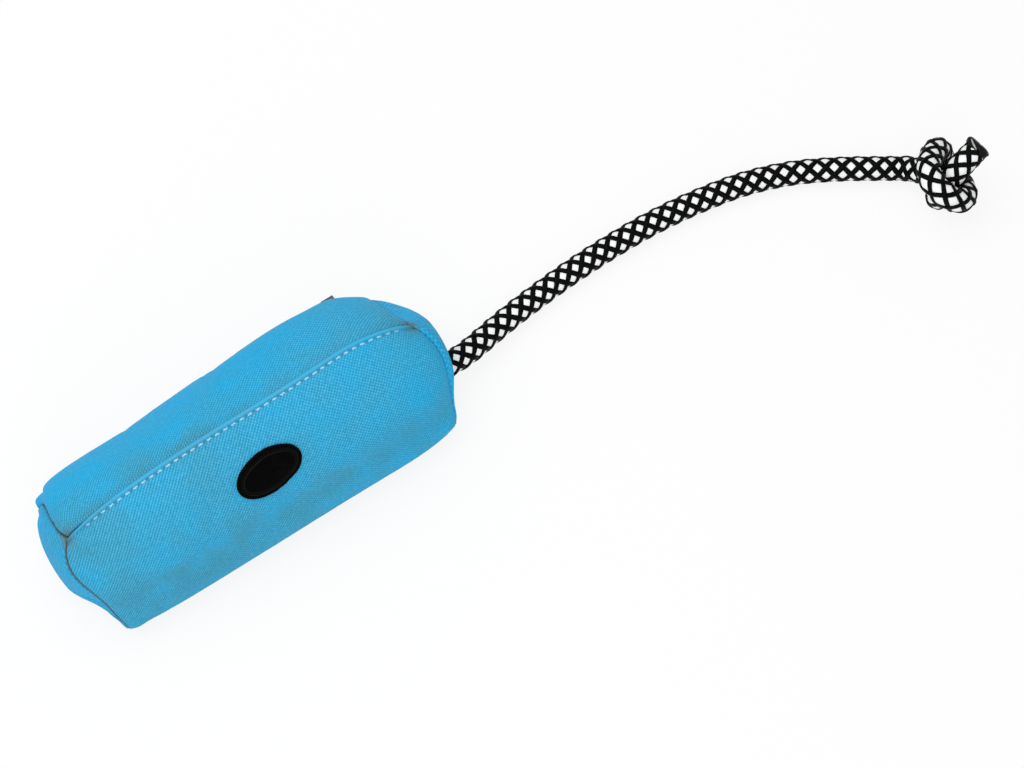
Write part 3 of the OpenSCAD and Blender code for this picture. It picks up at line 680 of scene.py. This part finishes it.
def tube(points, half_width, half_thick):
    """Rings of points round a line, each an oval of the given half sizes."""
    ways = unit(np.gradient(points, axis=0))
    lift = unit(np.cross(ways, np.cross(np.broadcast_to((0, 0, 1.0), ways.shape), ways)))
    flat = unit(np.cross(lift, ways))
    angle = around(TUBE_SIDES)
    return (points[:, None] + flat[:, None] * (np.cos(angle)[:, None] * np.reshape(half_width, (-1, 1, 1)))
            + lift[:, None] * (np.sin(angle)[:, None] * np.reshape(half_thick, (-1, 1, 1))))


stitch_points, stitch_faces = [], []
for i in range(STITCH_COUNT):
    x = (i - STITCH_COUNT // 2) * STITCH_PITCH
    s = np.linspace(-1, 1, STITCH_RINGS)
    line = np.stack([np.interp(x + s * STITCH_LENGTH / 2, row[:, 0], row[:, axis]) for axis in range(3)], -1)
    # the row sinks into the fold towards both ends
    sunk = 0.25 * eased((abs(x) - 68) / 14)
    line = line + ROW_OUT * (STITCH_ARCH * fall(s, 4) - STITCH_SUNK - sunk)[:, None]
    taper = (0.65 + 0.35 * fall(s, 2)) * (1 - sunk)
    stitch_points.append(tube(line, THREAD_HALF_WIDTH * taper, THREAD_HALF_THICK * taper).reshape(-1, 3))
    stitch_faces += tube_faces(STITCH_RINGS, TUBE_SIDES, i * STITCH_RINGS * TUBE_SIDES)
topstitch = new_piece("ridge_stitches", np.concatenate(stitch_points), stitch_faces)

# Two-ply thread: pale blue, a little shiny, with slanting ply lines drawn 1.8 mm apart
# along the thread so that they show.
PLY_PITCH, PLY_RELIEF = 1.8, 0.1
# a wave texture turns by twenty radians in a unit of its scale, and by half of that if it is diagonal
WAVE = 2 * math.pi / 20
thread_finish, tree, shader = new_finish("twisted_polyester_thread")
place = wire(tree, "TexCoord").outputs["Object"]
ply_scale = 2 * WAVE / (PLY_PITCH * MM)
plies = wire(tree, "TexWave", {"Vector": place, "Scale": ply_scale}, bands_direction="DIAGONAL")
plies = plies.outputs["Fac"]
ply_tone = wire(tree, "Mix", {"Factor": plies, 6: "#7cc2e4", 7: "#b8def0"}, data_type="RGBA")
ply_relief = wire(tree, "Bump", {"Height": plies, "Strength": 0.4, "Distance": PLY_RELIEF * MM})
feed(shader, {"Base Color": ply_tone, "Roughness": 0.5, "Normal": ply_relief})
topstitch.data.materials.append(thread_finish)
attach(topstitch, "bumper")
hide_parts("ridge_topstitch")


# OVAL BADGE
# A soft black rubber plate, moulded with a raised rim and a sewing channel round a bare
# field, and sewn flat to the front panel so that it follows the panel's curve.

BADGE_SIZE, BADGE_TILT, BADGE_SIDES = (34, 22), math.radians(5), 120
BADGE_CENTRE = panel_form(2, np.array([-0.012]), np.array([0.642]))[0, 0]
here = panel_form(2, np.array([-0.022, -0.002]), np.array([0.632, 0.652]))
badge_along = unit(here[1, 0] - here[0, 0])
badge_out = unit(np.cross(badge_along, here[0, 1] - here[0, 0]))
badge_up = np.cross(badge_out, badge_along)
# inset from the edge and height above the cloth, from the underside up to the field
BADGE_PROFILE = ((7, -0.1), (1.5, -0.1), (0.15, -0.1), (0, 0.1), (0, 1.15), (0.12, 1.42), (0.45, 1.58),
                 (0.9, 1.6), (1.9, 1.6), (2.2, 1.5), (2.35, 1.2), (2.5, 1.06), (2.95, 1.06), (3.1, 1.2),
                 (3.25, 1.34), (3.6, 1.4), (5, 1.4), (7, 1.42), (9, 1.44), (10.4, 1.45))
CHANNEL_EDGES = (2.2, 2.35, 3.1, 3.25)
# the badge's outline is dropped on the cloth from this height
DROP = 20
front_skin = cover_nets[2]
skin_faces = net_faces(*front_skin.shape[:2], closed=False)
skin_tree = BVHTree.FromPolygons(front_skin.reshape(-1, 3).tolist(), skin_faces)
tilt_cos, tilt_sin = math.cos(BADGE_TILT), math.sin(BADGE_TILT)
angle = -around(BADGE_SIDES)
badge_points = []
for inset, lift in BADGE_PROFILE:
    x, y = (BADGE_SIZE[0] / 2 - inset) * np.cos(angle), (BADGE_SIZE[1] / 2 - inset) * np.sin(angle)
    x, y = x * tilt_cos - y * tilt_sin, x * tilt_sin + y * tilt_cos
    for a, b in zip(x, y):
        over = BADGE_CENTRE + badge_along * a + badge_up * b + badge_out * DROP
        hit = skin_tree.ray_cast(Vector(over), Vector(-badge_out))[0]
        badge_points.append(np.array(hit) + badge_out * lift)
badge_points = np.array(badge_points).reshape(-1, BADGE_SIDES, 3)
middles = [badge_points[0].mean(0), badge_points[-1].mean(0) + badge_out * 0.01]
badge_faces = net_faces(len(BADGE_PROFILE), BADGE_SIDES) + fans(BADGE_SIDES, badge_points.size // 3)
badge = new_piece("oval_badge", np.concatenate([badge_points.reshape(-1, 3), middles]), badge_faces)
# both edges of the channel are painted greyer as a gleam, where light would catch them
gleaming_edges = [float(inset in CHANNEL_EDGES) for inset, _ in BADGE_PROFILE]
store(badge, "painted_gleam", np.append(np.repeat(gleaming_edges, BADGE_SIDES), [0, 0]))

# Moulded rubber: near black and matt, with a painted gleam of grey on the channel's edges. The fine grain of
# the mould is drawn at 0.55 mm so that it shows.
GRAIN, GRAIN_DEPTH = 0.55, 0.3
rubber_finish, tree, shader = new_finish("moulded_black_rubber")
place = wire(tree, "TexCoord").outputs["Object"]
grain = wire(tree, "TexNoise", {"Vector": place, "Scale": 1 / (GRAIN * MM), "Detail": 3.0})
shine = wire(tree, "MapRange", {0: grain, 3: 0.52, 4: 0.7})
mould_skin = wire(tree, "Bump", {"Height": grain, "Strength": 0.12, "Distance": GRAIN_DEPTH * MM})
painted_gleam = wire(tree, "Attribute", attribute_name="painted_gleam").outputs["Fac"]
rubber_tone = wire(tree, "Mix", {"Factor": grain, 6: "#000000", 7: "#040404"}, data_type="RGBA")
# painted highlight: the channel's edges are mixed to grey as their gleam
gleam_tone = wire(tree, "Mix", {"Factor": painted_gleam, 6: rubber_tone, 7: "#19191a"}, data_type="RGBA")
feed(shader, {"Base Color": gleam_tone, "Roughness": shine, "IOR": 1.52, "Specular IOR Level": 0.03,
              "Normal": mould_skin})
badge.data.materials.append(rubber_finish)
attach(badge, "bumper")
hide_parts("badge")


# SEAM TAB
# A short loop of grey woven tape, folded once and caught in the back edge seam near the
# rope end. Its fold stands out past the seam.

TAB_WIDTH, TAB_LENGTH, TAPE_THICK = 6.5, 10.0, 0.5
FOLD_HALF_GAP, FOLD_SLACK, FOLD_REACH = 0.36, 0.12, 0.6
TAB_AT, TAB_SEWN_IN = 0.805, 1.6
tab_root = seam_line(1, np.array(TAB_AT)) - (0, TAB_SEWN_IN, 0)
s = np.linspace(0, 1, 15)
flat_run = TAB_LENGTH - FOLD_REACH
upper = np.stack([flat_run * s, FOLD_HALF_GAP + FOLD_SLACK * np.sin(math.pi * s)], -1)
bend = np.stack([flat_run + FOLD_REACH * np.sin(math.pi * s), FOLD_HALF_GAP * np.cos(math.pi * s)], -1)
fold = np.concatenate([upper, bend[1:-1], (upper * (1, -1))[::-1]])
slope = np.gradient(fold, axis=0)
normal = unit(np.stack([-slope[:, 1], slope[:, 0]], -1))
loop = np.concatenate([fold + normal * TAPE_THICK / 2, (fold - normal * TAPE_THICK / 2)[::-1]])
ribs = np.linspace(-TAB_WIDTH / 2, TAB_WIDTH / 2, 9)
tab_points = [tab_root + (x, p[0], p[1]) for x in ribs for p in loop]
tab_faces = net_faces(len(ribs), len(loop))
half = len(fold)
last = (len(ribs) - 1) * len(loop)
for j in range(half - 1):
    quad = [j, j + 1, 2 * half - 2 - j, 2 * half - 1 - j]
    tab_faces.append(quad[::-1])
    tab_faces.append([n + last for n in quad])
seam_tab = new_piece("seam_tab_loop", tab_points, tab_faces)

# Grey woven tape: matt, with fine cross ribs that are drawn at 1.2 mm so that they show.
RIB_PITCH, RIB_RELIEF = 1.2, 0.2
tape_finish, tree, shader = new_finish("grey_woven_tape")
place = wire(tree, "TexCoord").outputs["Object"]
tape_ribs = wire(tree, "TexWave", {"Vector": place, "Scale": WAVE / (RIB_PITCH * MM)}, bands_direction="Y")
tape_ribs = tape_ribs.outputs["Fac"]
tape_tone = wire(tree, "Mix", {"Factor": tape_ribs, 6: "#4a4d4e", 7: "#727676"}, data_type="RGBA")
tape_relief = wire(tree, "Bump", {"Height": tape_ribs, "Strength": 0.4, "Distance": RIB_RELIEF * MM})
feed(shader, {"Base Color": tape_tone, "Roughness": 0.85, "Normal": tape_relief})
seam_tab.data.materials.append(tape_finish)
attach(seam_tab, "bumper")
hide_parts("seam_tab")


# ROPE
# One length of 12 mm braid: a white sheath crossed by four black strands each way, laid
# over and under. Inside it ends in a stop knot; outside it lies on the ground and ends in
# an overhand knot for the hand. Four stretches of it meet at the knots and where it bends.

ROPE_DIAMETER, LEAD, RING_STEP = 12.0, 30.8, 0.75
# part.scad's route, with its first six points 1.6 down to 0.1 mm nearer the front
ROPE_ROUTE = np.array([
    ROPE_EXIT, (114, -11.4, 14.5), (122, -9.8, 12.5), (130, -8, 10.6), (138, -6.3, 8.9),
    (150, -4.3, 7.2), (164, -2.8, 6.3), (182, -1.6, 6.2), (202, -1.2, 6.2), (222, -1.6, 6.2), (240, -3, 6.2),
    (256, -5.2, 6.2), (272, -8.2, 6.2), (286, -12.2, 6.2), (300, -17.6, 6.2), (313, -24.2, 6.2),
    (325, -31.2, 6.2), (335, -37.6, 6.2), (344, -43.5, 6.2)])
# part.scad's knot, with its tail 1.3 mm longer
KNOT_ROUTE = np.array([
    (-22, 11.7, -13.8), (-15.5, 11, -12.5), (-10.2, 8.5, -9), (-5.2, 5.8, -5), (0.5, 4, -3.7),
    (6.5, 0.8, -3.5), (9.8, -4.9, -1.7), (9, -10.6, 2.5), (5, -13.9, 7.2), (-1.1, -13.1, 11.3),
    (-6.3, -8.5, 13.3), (-8.6, -2.2, 12.9), (-7.9, 4.4, 9.6), (-5.6, 10.2, 5.9), (-3, 14.6, 2),
    (-0.4, 16.3, -4.4), (0.9, 13.6, -10.3), (1.1, 7.4, -14.4), (-0.4, 0.6, -14.4), (-1.6, -4.8, -10.1),
    (-2.3, -6.5, -3.8), (-0.7, -5, 2.8), (2.6, -2.3, 8), (7.2, 2.2, 12), (13.8, 8.4, 15.2)])
HAND_KNOT_AXES = ((0.834, -0.552, 0), (0.552, 0.834, 0), (0, 0, 1))
SHEATH_RADIUS, PLUMP, PLUMP_POWER, SHEATH_SIDES = 5.1, 0.5, 0.6, 40
STRAND_OUT, STRAND_WAVE, STRAND_HALF_WIDTH, STRAND_HALF_THICK, STRAND_SIDES = 5.5, 0.25, 1.3, 0.5, 10
# roughly a strand's own length to a length of the rope
STRAND_RUN = 1.6
KNOT_SPREAD, OTHER_TURN, TURN_GAP, GROUND_GAP = 0.05, 20, 0.06, 0.05
# the lay at the exit, and how it opens and closes along the rope: shares of a diamond at
# lengths from the exit
LAY_START, LAY_ANGLE = 3.43, math.radians(144.8)
LAY_AT, LAY_SHARE = (20, 45, 65, 105, 190, 240), (0.43, 0.21, 0.21, 0.41, 0.38, -0.06)


def knotted(entry, axes):
    """The knot's route from the point where the rope enters it, along three directions."""
    return entry + (KNOT_ROUTE - KNOT_ROUTE[0]) @ np.array(axes)


stop_line = knotted(stop_entry, (inward, sideways, upward))
anchor_line = ROPE_EXIT - EXIT_HEADING * np.array([24, 13, 5])[:, None]
hand_line = knotted(ROPE_ROUTE[-1], HAND_KNOT_AXES)
whole_route = np.concatenate([stop_line[::-1], anchor_line, ROPE_ROUTE, hand_line[1:]])
rope_line = between(whole_route, np.linspace(0, len(whole_route) - 1, 20 * len(whole_route)))
rope_arc = run_length(rope_line, 0)
ring_arc = np.linspace(0, rope_arc[-1], int(rope_arc[-1] / RING_STEP))
rope_line = np.stack([np.interp(ring_arc, rope_arc, rope_line[:, axis]) for axis in range(3)], -1)
rope_way = unit(np.gradient(rope_line, axis=0))


def ring_at(point):
    """The number of the ring nearest to a point."""
    return int(np.argmin(np.linalg.norm(rope_line - point, axis=1)))


at_exit, at_swing, at_entry = ring_at(ROPE_ROUTE[0]), ring_at(ROPE_ROUTE[2]), ring_at(ROPE_ROUTE[-1])
at_stop = ring_at(stop_entry)
# the rope lies without twist: a sideways direction is carried both ways from the exit
level = unit(np.cross(rope_way[at_exit], (0, 0, 1)))
rope_side = np.zeros_like(rope_line)
rope_side[at_exit] = level * math.cos(LAY_ANGLE) + np.cross(rope_way[at_exit], level) * math.sin(LAY_ANGLE)
for step, rings in ((1, range(at_exit + 1, len(rope_line))), (-1, range(at_exit - 1, -1, -1))):
    for n in rings:
        rope_side[n] = unit(rope_side[n - step] - rope_way[n] * (rope_side[n - step] @ rope_way[n]))
rope_up = np.cross(rope_way, rope_side)


def pressed(points, ring):
    """Flattens the rope where its turns lie on each other."""
    far = np.abs(ring[:, None] - np.arange(len(rope_line))) * RING_STEP > OTHER_TURN
    for _ in range(2):
        gap = np.where(far, np.linalg.norm(points[:, None] - rope_line, axis=2), 1e9)
        other = rope_line[np.argmin(gap, axis=1)]
        towards = unit(other - rope_line[ring])
        over = ((points - (rope_line[ring] + other) / 2) * towards).sum(1) + TURN_GAP
        near = np.min(gap, axis=1) < ROPE_DIAMETER
        points = points - towards * np.where(near, np.clip(over, 0, None), 0)[:, None]
    return points


def braid(name, first, last, knot=False):
    """A stretch of the rope: the white sheath and its eight black strands."""
    ring = np.arange(first, last + 1)
    centre, side, up = rope_line[ring], rope_side[ring], rope_up[ring]
    from_exit = ring_arc[ring] - ring_arc[at_exit]
    turn = 2 * math.pi * (from_exit + LAY_START) / LEAD
    turn += math.pi / 2 * np.interp(from_exit, LAY_AT, LAY_SHARE)
    count = len(ring)
    # the rope is pressed wide in the hand knot
    in_knot, from_tip = (ring - at_entry) * RING_STEP, (len(rope_line) - ring) * RING_STEP
    spread = 1 + KNOT_SPREAD * eased(in_knot / 10) * eased(from_tip / 12)
    angle = around(SHEATH_SIDES)
    crossings = np.sin(2 * (angle - turn[:, None])) * np.sin(2 * (angle + turn[:, None]))
    diamonds = np.abs(crossings) ** PLUMP_POWER
    radius = (SHEATH_RADIUS + PLUMP * diamonds) * spread[:, None]
    sheath = centre[:, None] + radius[..., None] * (side[:, None] * np.cos(angle)[:, None]
                                                   + up[:, None] * np.sin(angle)[:, None])
    # each part is a net of rings with its own lay in millimetres and a mark
    parts = [(sheath, ring_arc[ring], angle * ROPE_DIAMETER / 2, 0.0)]
    oval = around(STRAND_SIDES)
    for hand in (1, -1):
        for k in range(4):
            strand_angle = hand * turn + k * math.pi / 2
            out = side * np.cos(strand_angle)[:, None] + up * np.sin(strand_angle)[:, None]
            middle = centre + out * ((STRAND_OUT + hand * STRAND_WAVE * np.cos(4 * turn)) * spread)[:, None]
            flat = unit(np.cross(unit(np.gradient(middle, axis=0)), out))
            half_width = (STRAND_HALF_WIDTH / spread)[:, None, None] * np.cos(oval)[:, None]
            half_thick = (STRAND_HALF_THICK * np.sin(oval))[:, None]
            strand = (middle[:, None] + flat[:, None] * half_width + out[:, None] * half_thick)[:, ::-1]
            parts.append((strand, ring_arc[ring] * STRAND_RUN, np.cos(oval[::-1]) * STRAND_HALF_WIDTH,
                          hand * (k + 1.0)))
    points, owners, lay, faces, counts = [], [], [], [], []
    start = 0
    for net, run, width, mark in parts:
        sides = net.shape[1]
        points.append(net.reshape(-1, 3))
        owners.append(np.repeat(ring, sides))
        lay.append(np.stack([np.repeat(run, sides), np.tile(width, count), np.full(count * sides, mark)], -1))
        part_faces = tube_faces(count, sides, start)
        faces += part_faces
        counts.append(len(part_faces))
        start += count * sides
    points = np.concatenate(points)
    if knot:
        points = pressed(points, np.concatenate(owners))
    points[:, 2] = np.maximum(points[:, 2], GROUND_GAP)
    piece = new_piece(name, points, faces)
    store(piece, "lay_mm", np.concatenate(lay))
    piece.data.materials.append(white_rope)
    piece.data.materials.append(black_rope)
    piece.data.polygons.foreach_set("material_index", [0] * counts[0] + [1] * sum(counts[1:]))
    return piece


# White braided polypropylene: bright, slightly silky, with the fine plait of its yarns.
PLAIT_SLOPE, PLAIT_PITCH, PLAIT_RELIEF = 1.22, 1.85, 0.2
white_rope, tree, shader = new_finish("white_braided_polypropylene")
lay_lines = wire(tree, "Attribute", attribute_name="lay_mm").outputs["Vector"]
lay_parts = wire(tree, "SeparateXYZ", {0: lay_lines}).outputs
plaits = []
for plait_slope in (PLAIT_SLOPE, -PLAIT_SLOPE):
    slant = wire(tree, "Math", {0: lay_parts[0], 1: plait_slope, 2: lay_parts[1]}, operation="MULTIPLY_ADD")
    slant = wire(tree, "Math", {0: slant, 1: 2 * math.pi / PLAIT_PITCH}, operation="MULTIPLY")
    plaits.append(wire(tree, "Math", {0: slant}, operation="SINE"))
plait = wire(tree, "Math", {0: plaits[0], 1: plaits[1]}, operation="MULTIPLY")
plait = wire(tree, "MapRange", {0: plait, 1: -1.0, 2: 1.0})
white_tone = wire(tree, "Mix", {"Factor": plait, 6: "#eef3f1", 7: "#fcfefc"}, data_type="RGBA")
plait_relief = wire(tree, "Bump", {"Height": plait, "Strength": 0.25, "Distance": PLAIT_RELIEF * MM})
feed(shader, {"Base Color": white_tone, "Roughness": 0.55, "Normal": plait_relief, "Sheen Weight": 0.1})

# Black polyester strands: flat bundles of straight filaments with a silky grey gleam. The
# filaments are drawn 0.2 mm wide so that they show.
FILAMENT_LENGTH, FILAMENT_WIDTH, FILAMENT_RELIEF = 4, 0.2, 0.2
black_rope, tree, shader = new_finish("black_polyester_strand")
lay_lines = wire(tree, "Attribute", attribute_name="lay_mm").outputs["Vector"]
filament_scale = (1 / FILAMENT_LENGTH, 1 / FILAMENT_WIDTH, 3.0)
stretched = wire(tree, "Mapping", {"Vector": lay_lines, "Scale": filament_scale})
filaments = wire(tree, "TexNoise", {"Vector": stretched, "Scale": 1.0, "Detail": 2.0})
black_tone = wire(tree, "Mix", {"Factor": filaments, 6: "#010101", 7: "#080809"}, data_type="RGBA")
filament_relief = wire(tree, "Bump", {"Height": filaments, "Strength": 0.4, "Distance": FILAMENT_RELIEF * MM})
feed(shader, {"Base Color": black_tone, "Roughness": 0.5, "Normal": filament_relief,
              "Specular IOR Level": 0.06})

stop_knot = braid("stop_knot_braid", 0, at_stop, knot=True)
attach(stop_knot, "bumper")
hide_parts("stop_knot")
rope_root = braid("rope_root_braid", at_stop, at_swing)
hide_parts("rope_anchor", "rope_bend_swing")
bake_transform(rope_root)
throw_rope = braid("throw_rope_braid", at_swing, at_entry)
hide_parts("rope_bend_lift", "free_rope")
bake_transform(throw_rope)
hand_knot = braid("hand_knot_braid", at_entry, len(rope_line) - 1, knot=True)
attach(hand_knot, "rope")
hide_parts("end_knot")


# MELTED TIP
# The rope's cut end, melted with a flame so that it can't unravel: a lumpy black plug
# with one pale fibre caught across it.

TIP_PROFILE = ((5.1, -1), (5.7, -0.3), (6.1, 0.4), (6.2, 1.2), (6.2, 2), (6, 2.7), (5.4, 3.3), (4.3, 3.6),
               (3, 3.7), (1.5, 3.8))
TIP_SIDES = 48
FIBRE_RINGS, FIBRE_HALF_WIDTH, FIBRE_HALF_THICK = 13, 0.5, 0.32
FIBRE_OUT, FIBRE_TURN, FIBRE_RISE = 6.25, (1.02, 0.98), (2.6, 2.4)
tip_line, tip_side, tip_up, tip_way = rope_line[-1], rope_side[-1], rope_up[-1], rope_way[-1]
# the melt was pressed over to the rope's back side, where it stands in a sharper corner
CORNER_SIDE, FIBRE_SIDE = np.array([-0.25, 0.93, 0.23]), np.array([-0.19, -0.29, 0.94])
corner_angle = math.atan2(CORNER_SIDE @ tip_up, CORNER_SIDE @ tip_side)
fibre_angle = math.atan2(FIBRE_SIDE @ tip_up, FIBRE_SIDE @ tip_side)


def on_tip(angle, radius, rise):
    """Points of the lumpy plug at angles round it, a radius and a height above the rope's end."""
    to_corner = np.abs((angle - corner_angle + math.pi) % (2 * math.pi) - math.pi)
    lumps = 1 + 0.03 * np.sin(3 * angle + rise) + 0.035 * np.sin(5 * angle - 1.3 * rise)
    lumps = lumps + 0.02 * np.sin(9 * angle + 2 * rise)
    lumps = lumps + 0.14 * hump(to_corner, 0.6) * eased(rise / 2.5)
    reach = radius * lumps
    lean = (0.25 * hump(to_corner, 0.7) * radius / 6 + 0.3 * np.sin(2 * angle + 0.6)) * eased(rise / 3)
    return (tip_line + tip_side * (reach * np.cos(angle))[..., None]
            + tip_up * (reach * np.sin(angle))[..., None] + tip_way * (rise + lean)[..., None])


angle = around(TIP_SIDES)
tip_points = np.array([on_tip(angle, radius, np.full(TIP_SIDES, rise)) for radius, rise in TIP_PROFILE])
count = tip_points.size // 3
tip_faces = net_faces(len(TIP_PROFILE), TIP_SIDES) + fans(TIP_SIDES, count)
plug_faces = len(tip_faces)
ends = [tip_points[0].mean(0), tip_points[-1].mean(0) + tip_way * 0.1]
# the fibre lies across the plug's side, from the corner down to the middle, half sunk in it
way_round = 1 if (corner_angle - fibre_angle) % (2 * math.pi) < math.pi else -1
s = np.linspace(0, 1, FIBRE_RINGS)
fibre_angles = fibre_angle + way_round * (FIBRE_TURN[0] - FIBRE_TURN[1] * s)
fibre_line = on_tip(fibre_angles, FIBRE_OUT, FIBRE_RISE[0] - FIBRE_RISE[1] * s)
taper = 0.3 + 0.7 * np.sin(math.pi * s) ** 0.5
fibre = tube(fibre_line, FIBRE_HALF_WIDTH * taper, FIBRE_HALF_THICK * taper).reshape(-1, 3)
tip_faces += tube_faces(FIBRE_RINGS, TUBE_SIDES, count + 2)
melted_tip = new_piece("melted_tip", np.concatenate([tip_points.reshape(-1, 3), ends, fibre]), tip_faces)
melted_tip.data.polygons.foreach_set("material_index", [0] * plug_faces + [1] * (len(tip_faces) - plug_faces))

# Melted polymer: charred black to dark grey, uneven gloss where it ran and set.
MELT_RUN, BLISTER = 2.4, 0.8
melt_finish, tree, shader = new_finish("melted_polypropylene")
place = wire(tree, "TexCoord").outputs["Object"]
runs = wire(tree, "TexNoise", {"Vector": place, "Scale": 1 / (MELT_RUN * MM), "Detail": 4.0})
char = wire(tree, "Mix", {"Factor": runs, 6: "#020202", 7: "#161615"}, data_type="RGBA")
gloss = wire(tree, "MapRange", {0: runs, 1: 0.3, 2: 0.7, 3: 0.3, 4: 0.7})
blisters = wire(tree, "Bump", {"Height": runs, "Strength": 0.5, "Distance": BLISTER * MM})
feed(shader, {"Base Color": char, "Roughness": gloss, "Normal": blisters, "Specular IOR Level": 0.12})
melted_tip.data.materials.append(melt_finish)

# A white yarn scorched to a pale grey green: chalky, with darker soot in its length.
SOOT = 1.4
fibre_finish, tree, shader = new_finish("scorched_white_yarn")
place = wire(tree, "TexCoord").outputs["Object"]
soot = wire(tree, "TexNoise", {"Vector": place, "Scale": 1 / (SOOT * MM), "Detail": 3.0})
scorched = wire(tree, "Mix", {"Factor": soot, 6: "#6f7f6e", 7: "#c4d6c2"}, data_type="RGBA")
feed(shader, {"Base Color": scorched, "Roughness": 0.8})
melted_tip.data.materials.append(fibre_finish)
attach(melted_tip, "rope")
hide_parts("sealed_tip")

# the path and length in metres of the rope that shows, from the swing bend to the knot's entry; the knot and
# tip are attached to the rope's body
rope_path = rope_line[at_swing:at_entry + 1]
round(float(run_length(rope_path, 0)[-1]) * MM, 3)


# STAGE, LIGHT AND CAMERA
# White seamless paper under even studio light: a broad overhead softbox, a weaker one from
# the camera's side and a bright room. The camera looks down from the front left.

FLOOR_HALF, FLOOR_DROP = 4000, 0.2
corners = ((-1, -1), (1, -1), (1, 1), (-1, 1))
floor_points = [(x * FLOOR_HALF, y * FLOOR_HALF, -FLOOR_DROP) for x, y in corners]
floor = new_piece("paper_floor", floor_points, [[0, 1, 2, 3]])
paper, tree, shader = new_finish("white_seamless_paper")
rays = wire(tree, "LightPath").outputs
seen = wire(tree, "Math", {0: rays["Is Camera Ray"], 1: rays["Is Glossy Ray"]}, operation="MAXIMUM")
seen = wire(tree, "Math", {0: seen, 1: rays["Is Transmission Ray"]}, operation="MAXIMUM")
feed(shader, {"Base Color": "#f2f2f2", "Roughness": 0.9, "Specular IOR Level": 0.0})
white = wire(tree, "Emission", {"Color": "#ffffff", "Strength": 1.0})
shown = wire(tree, "Math", {0: seen, 1: 0.85}, operation="MULTIPLY")
surface = wire(tree, "MixShader", {0: shown, 1: shader, 2: white})
feed(tree.nodes["Material Output"], {"Surface": surface})
floor.data.materials.append(paper)

world = bpy.data.worlds.new("bright_room")
bpy.context.scene.world = world
world.use_nodes = True
feed(world.node_tree.nodes["Background"], {"Color": "#ffffff", "Strength": 0.58})

LIT_POINT = Vector((0.05, 0, 0.03))
for name, place, size, power in (("overhead_softbox", (-0.15, 0.35, 1.3), 1.2, 9.4),
                                 ("front_softbox", (-0.45, -1.0, 0.9), 1.0, 5.2)):
    lamp = bpy.data.lights.new(name, "AREA")
    lamp.size, lamp.energy = size, power
    lamp_object = bpy.data.objects.new(name, lamp)
    lamp_object.location = place
    lamp_object.rotation_euler = (LIT_POINT - Vector(place)).to_track_quat("-Z", "Y").to_euler()
    bpy.context.scene.collection.objects.link(lamp_object)

AZIMUTH, ELEVATION, DISTANCE = math.radians(-123.46), math.radians(70), 1.680
AIM, LENS, SENSOR = Vector((0.1273, -0.03207, 0)), 123.05, 36
camera = bpy.data.objects.new("camera", bpy.data.cameras.new("camera"))
level_reach = DISTANCE * math.cos(ELEVATION)
camera.location = AIM + Vector((level_reach * math.cos(AZIMUTH), level_reach * math.sin(AZIMUTH),
                                DISTANCE * math.sin(ELEVATION)))
camera.rotation_euler = (AIM - camera.location).to_track_quat("-Z", "Y").to_euler()
camera.data.lens, camera.data.sensor_width = LENS, SENSOR
bpy.context.scene.collection.objects.link(camera)
bpy.context.scene.camera = camera
bpy.context.scene.view_settings.view_transform = "Standard"
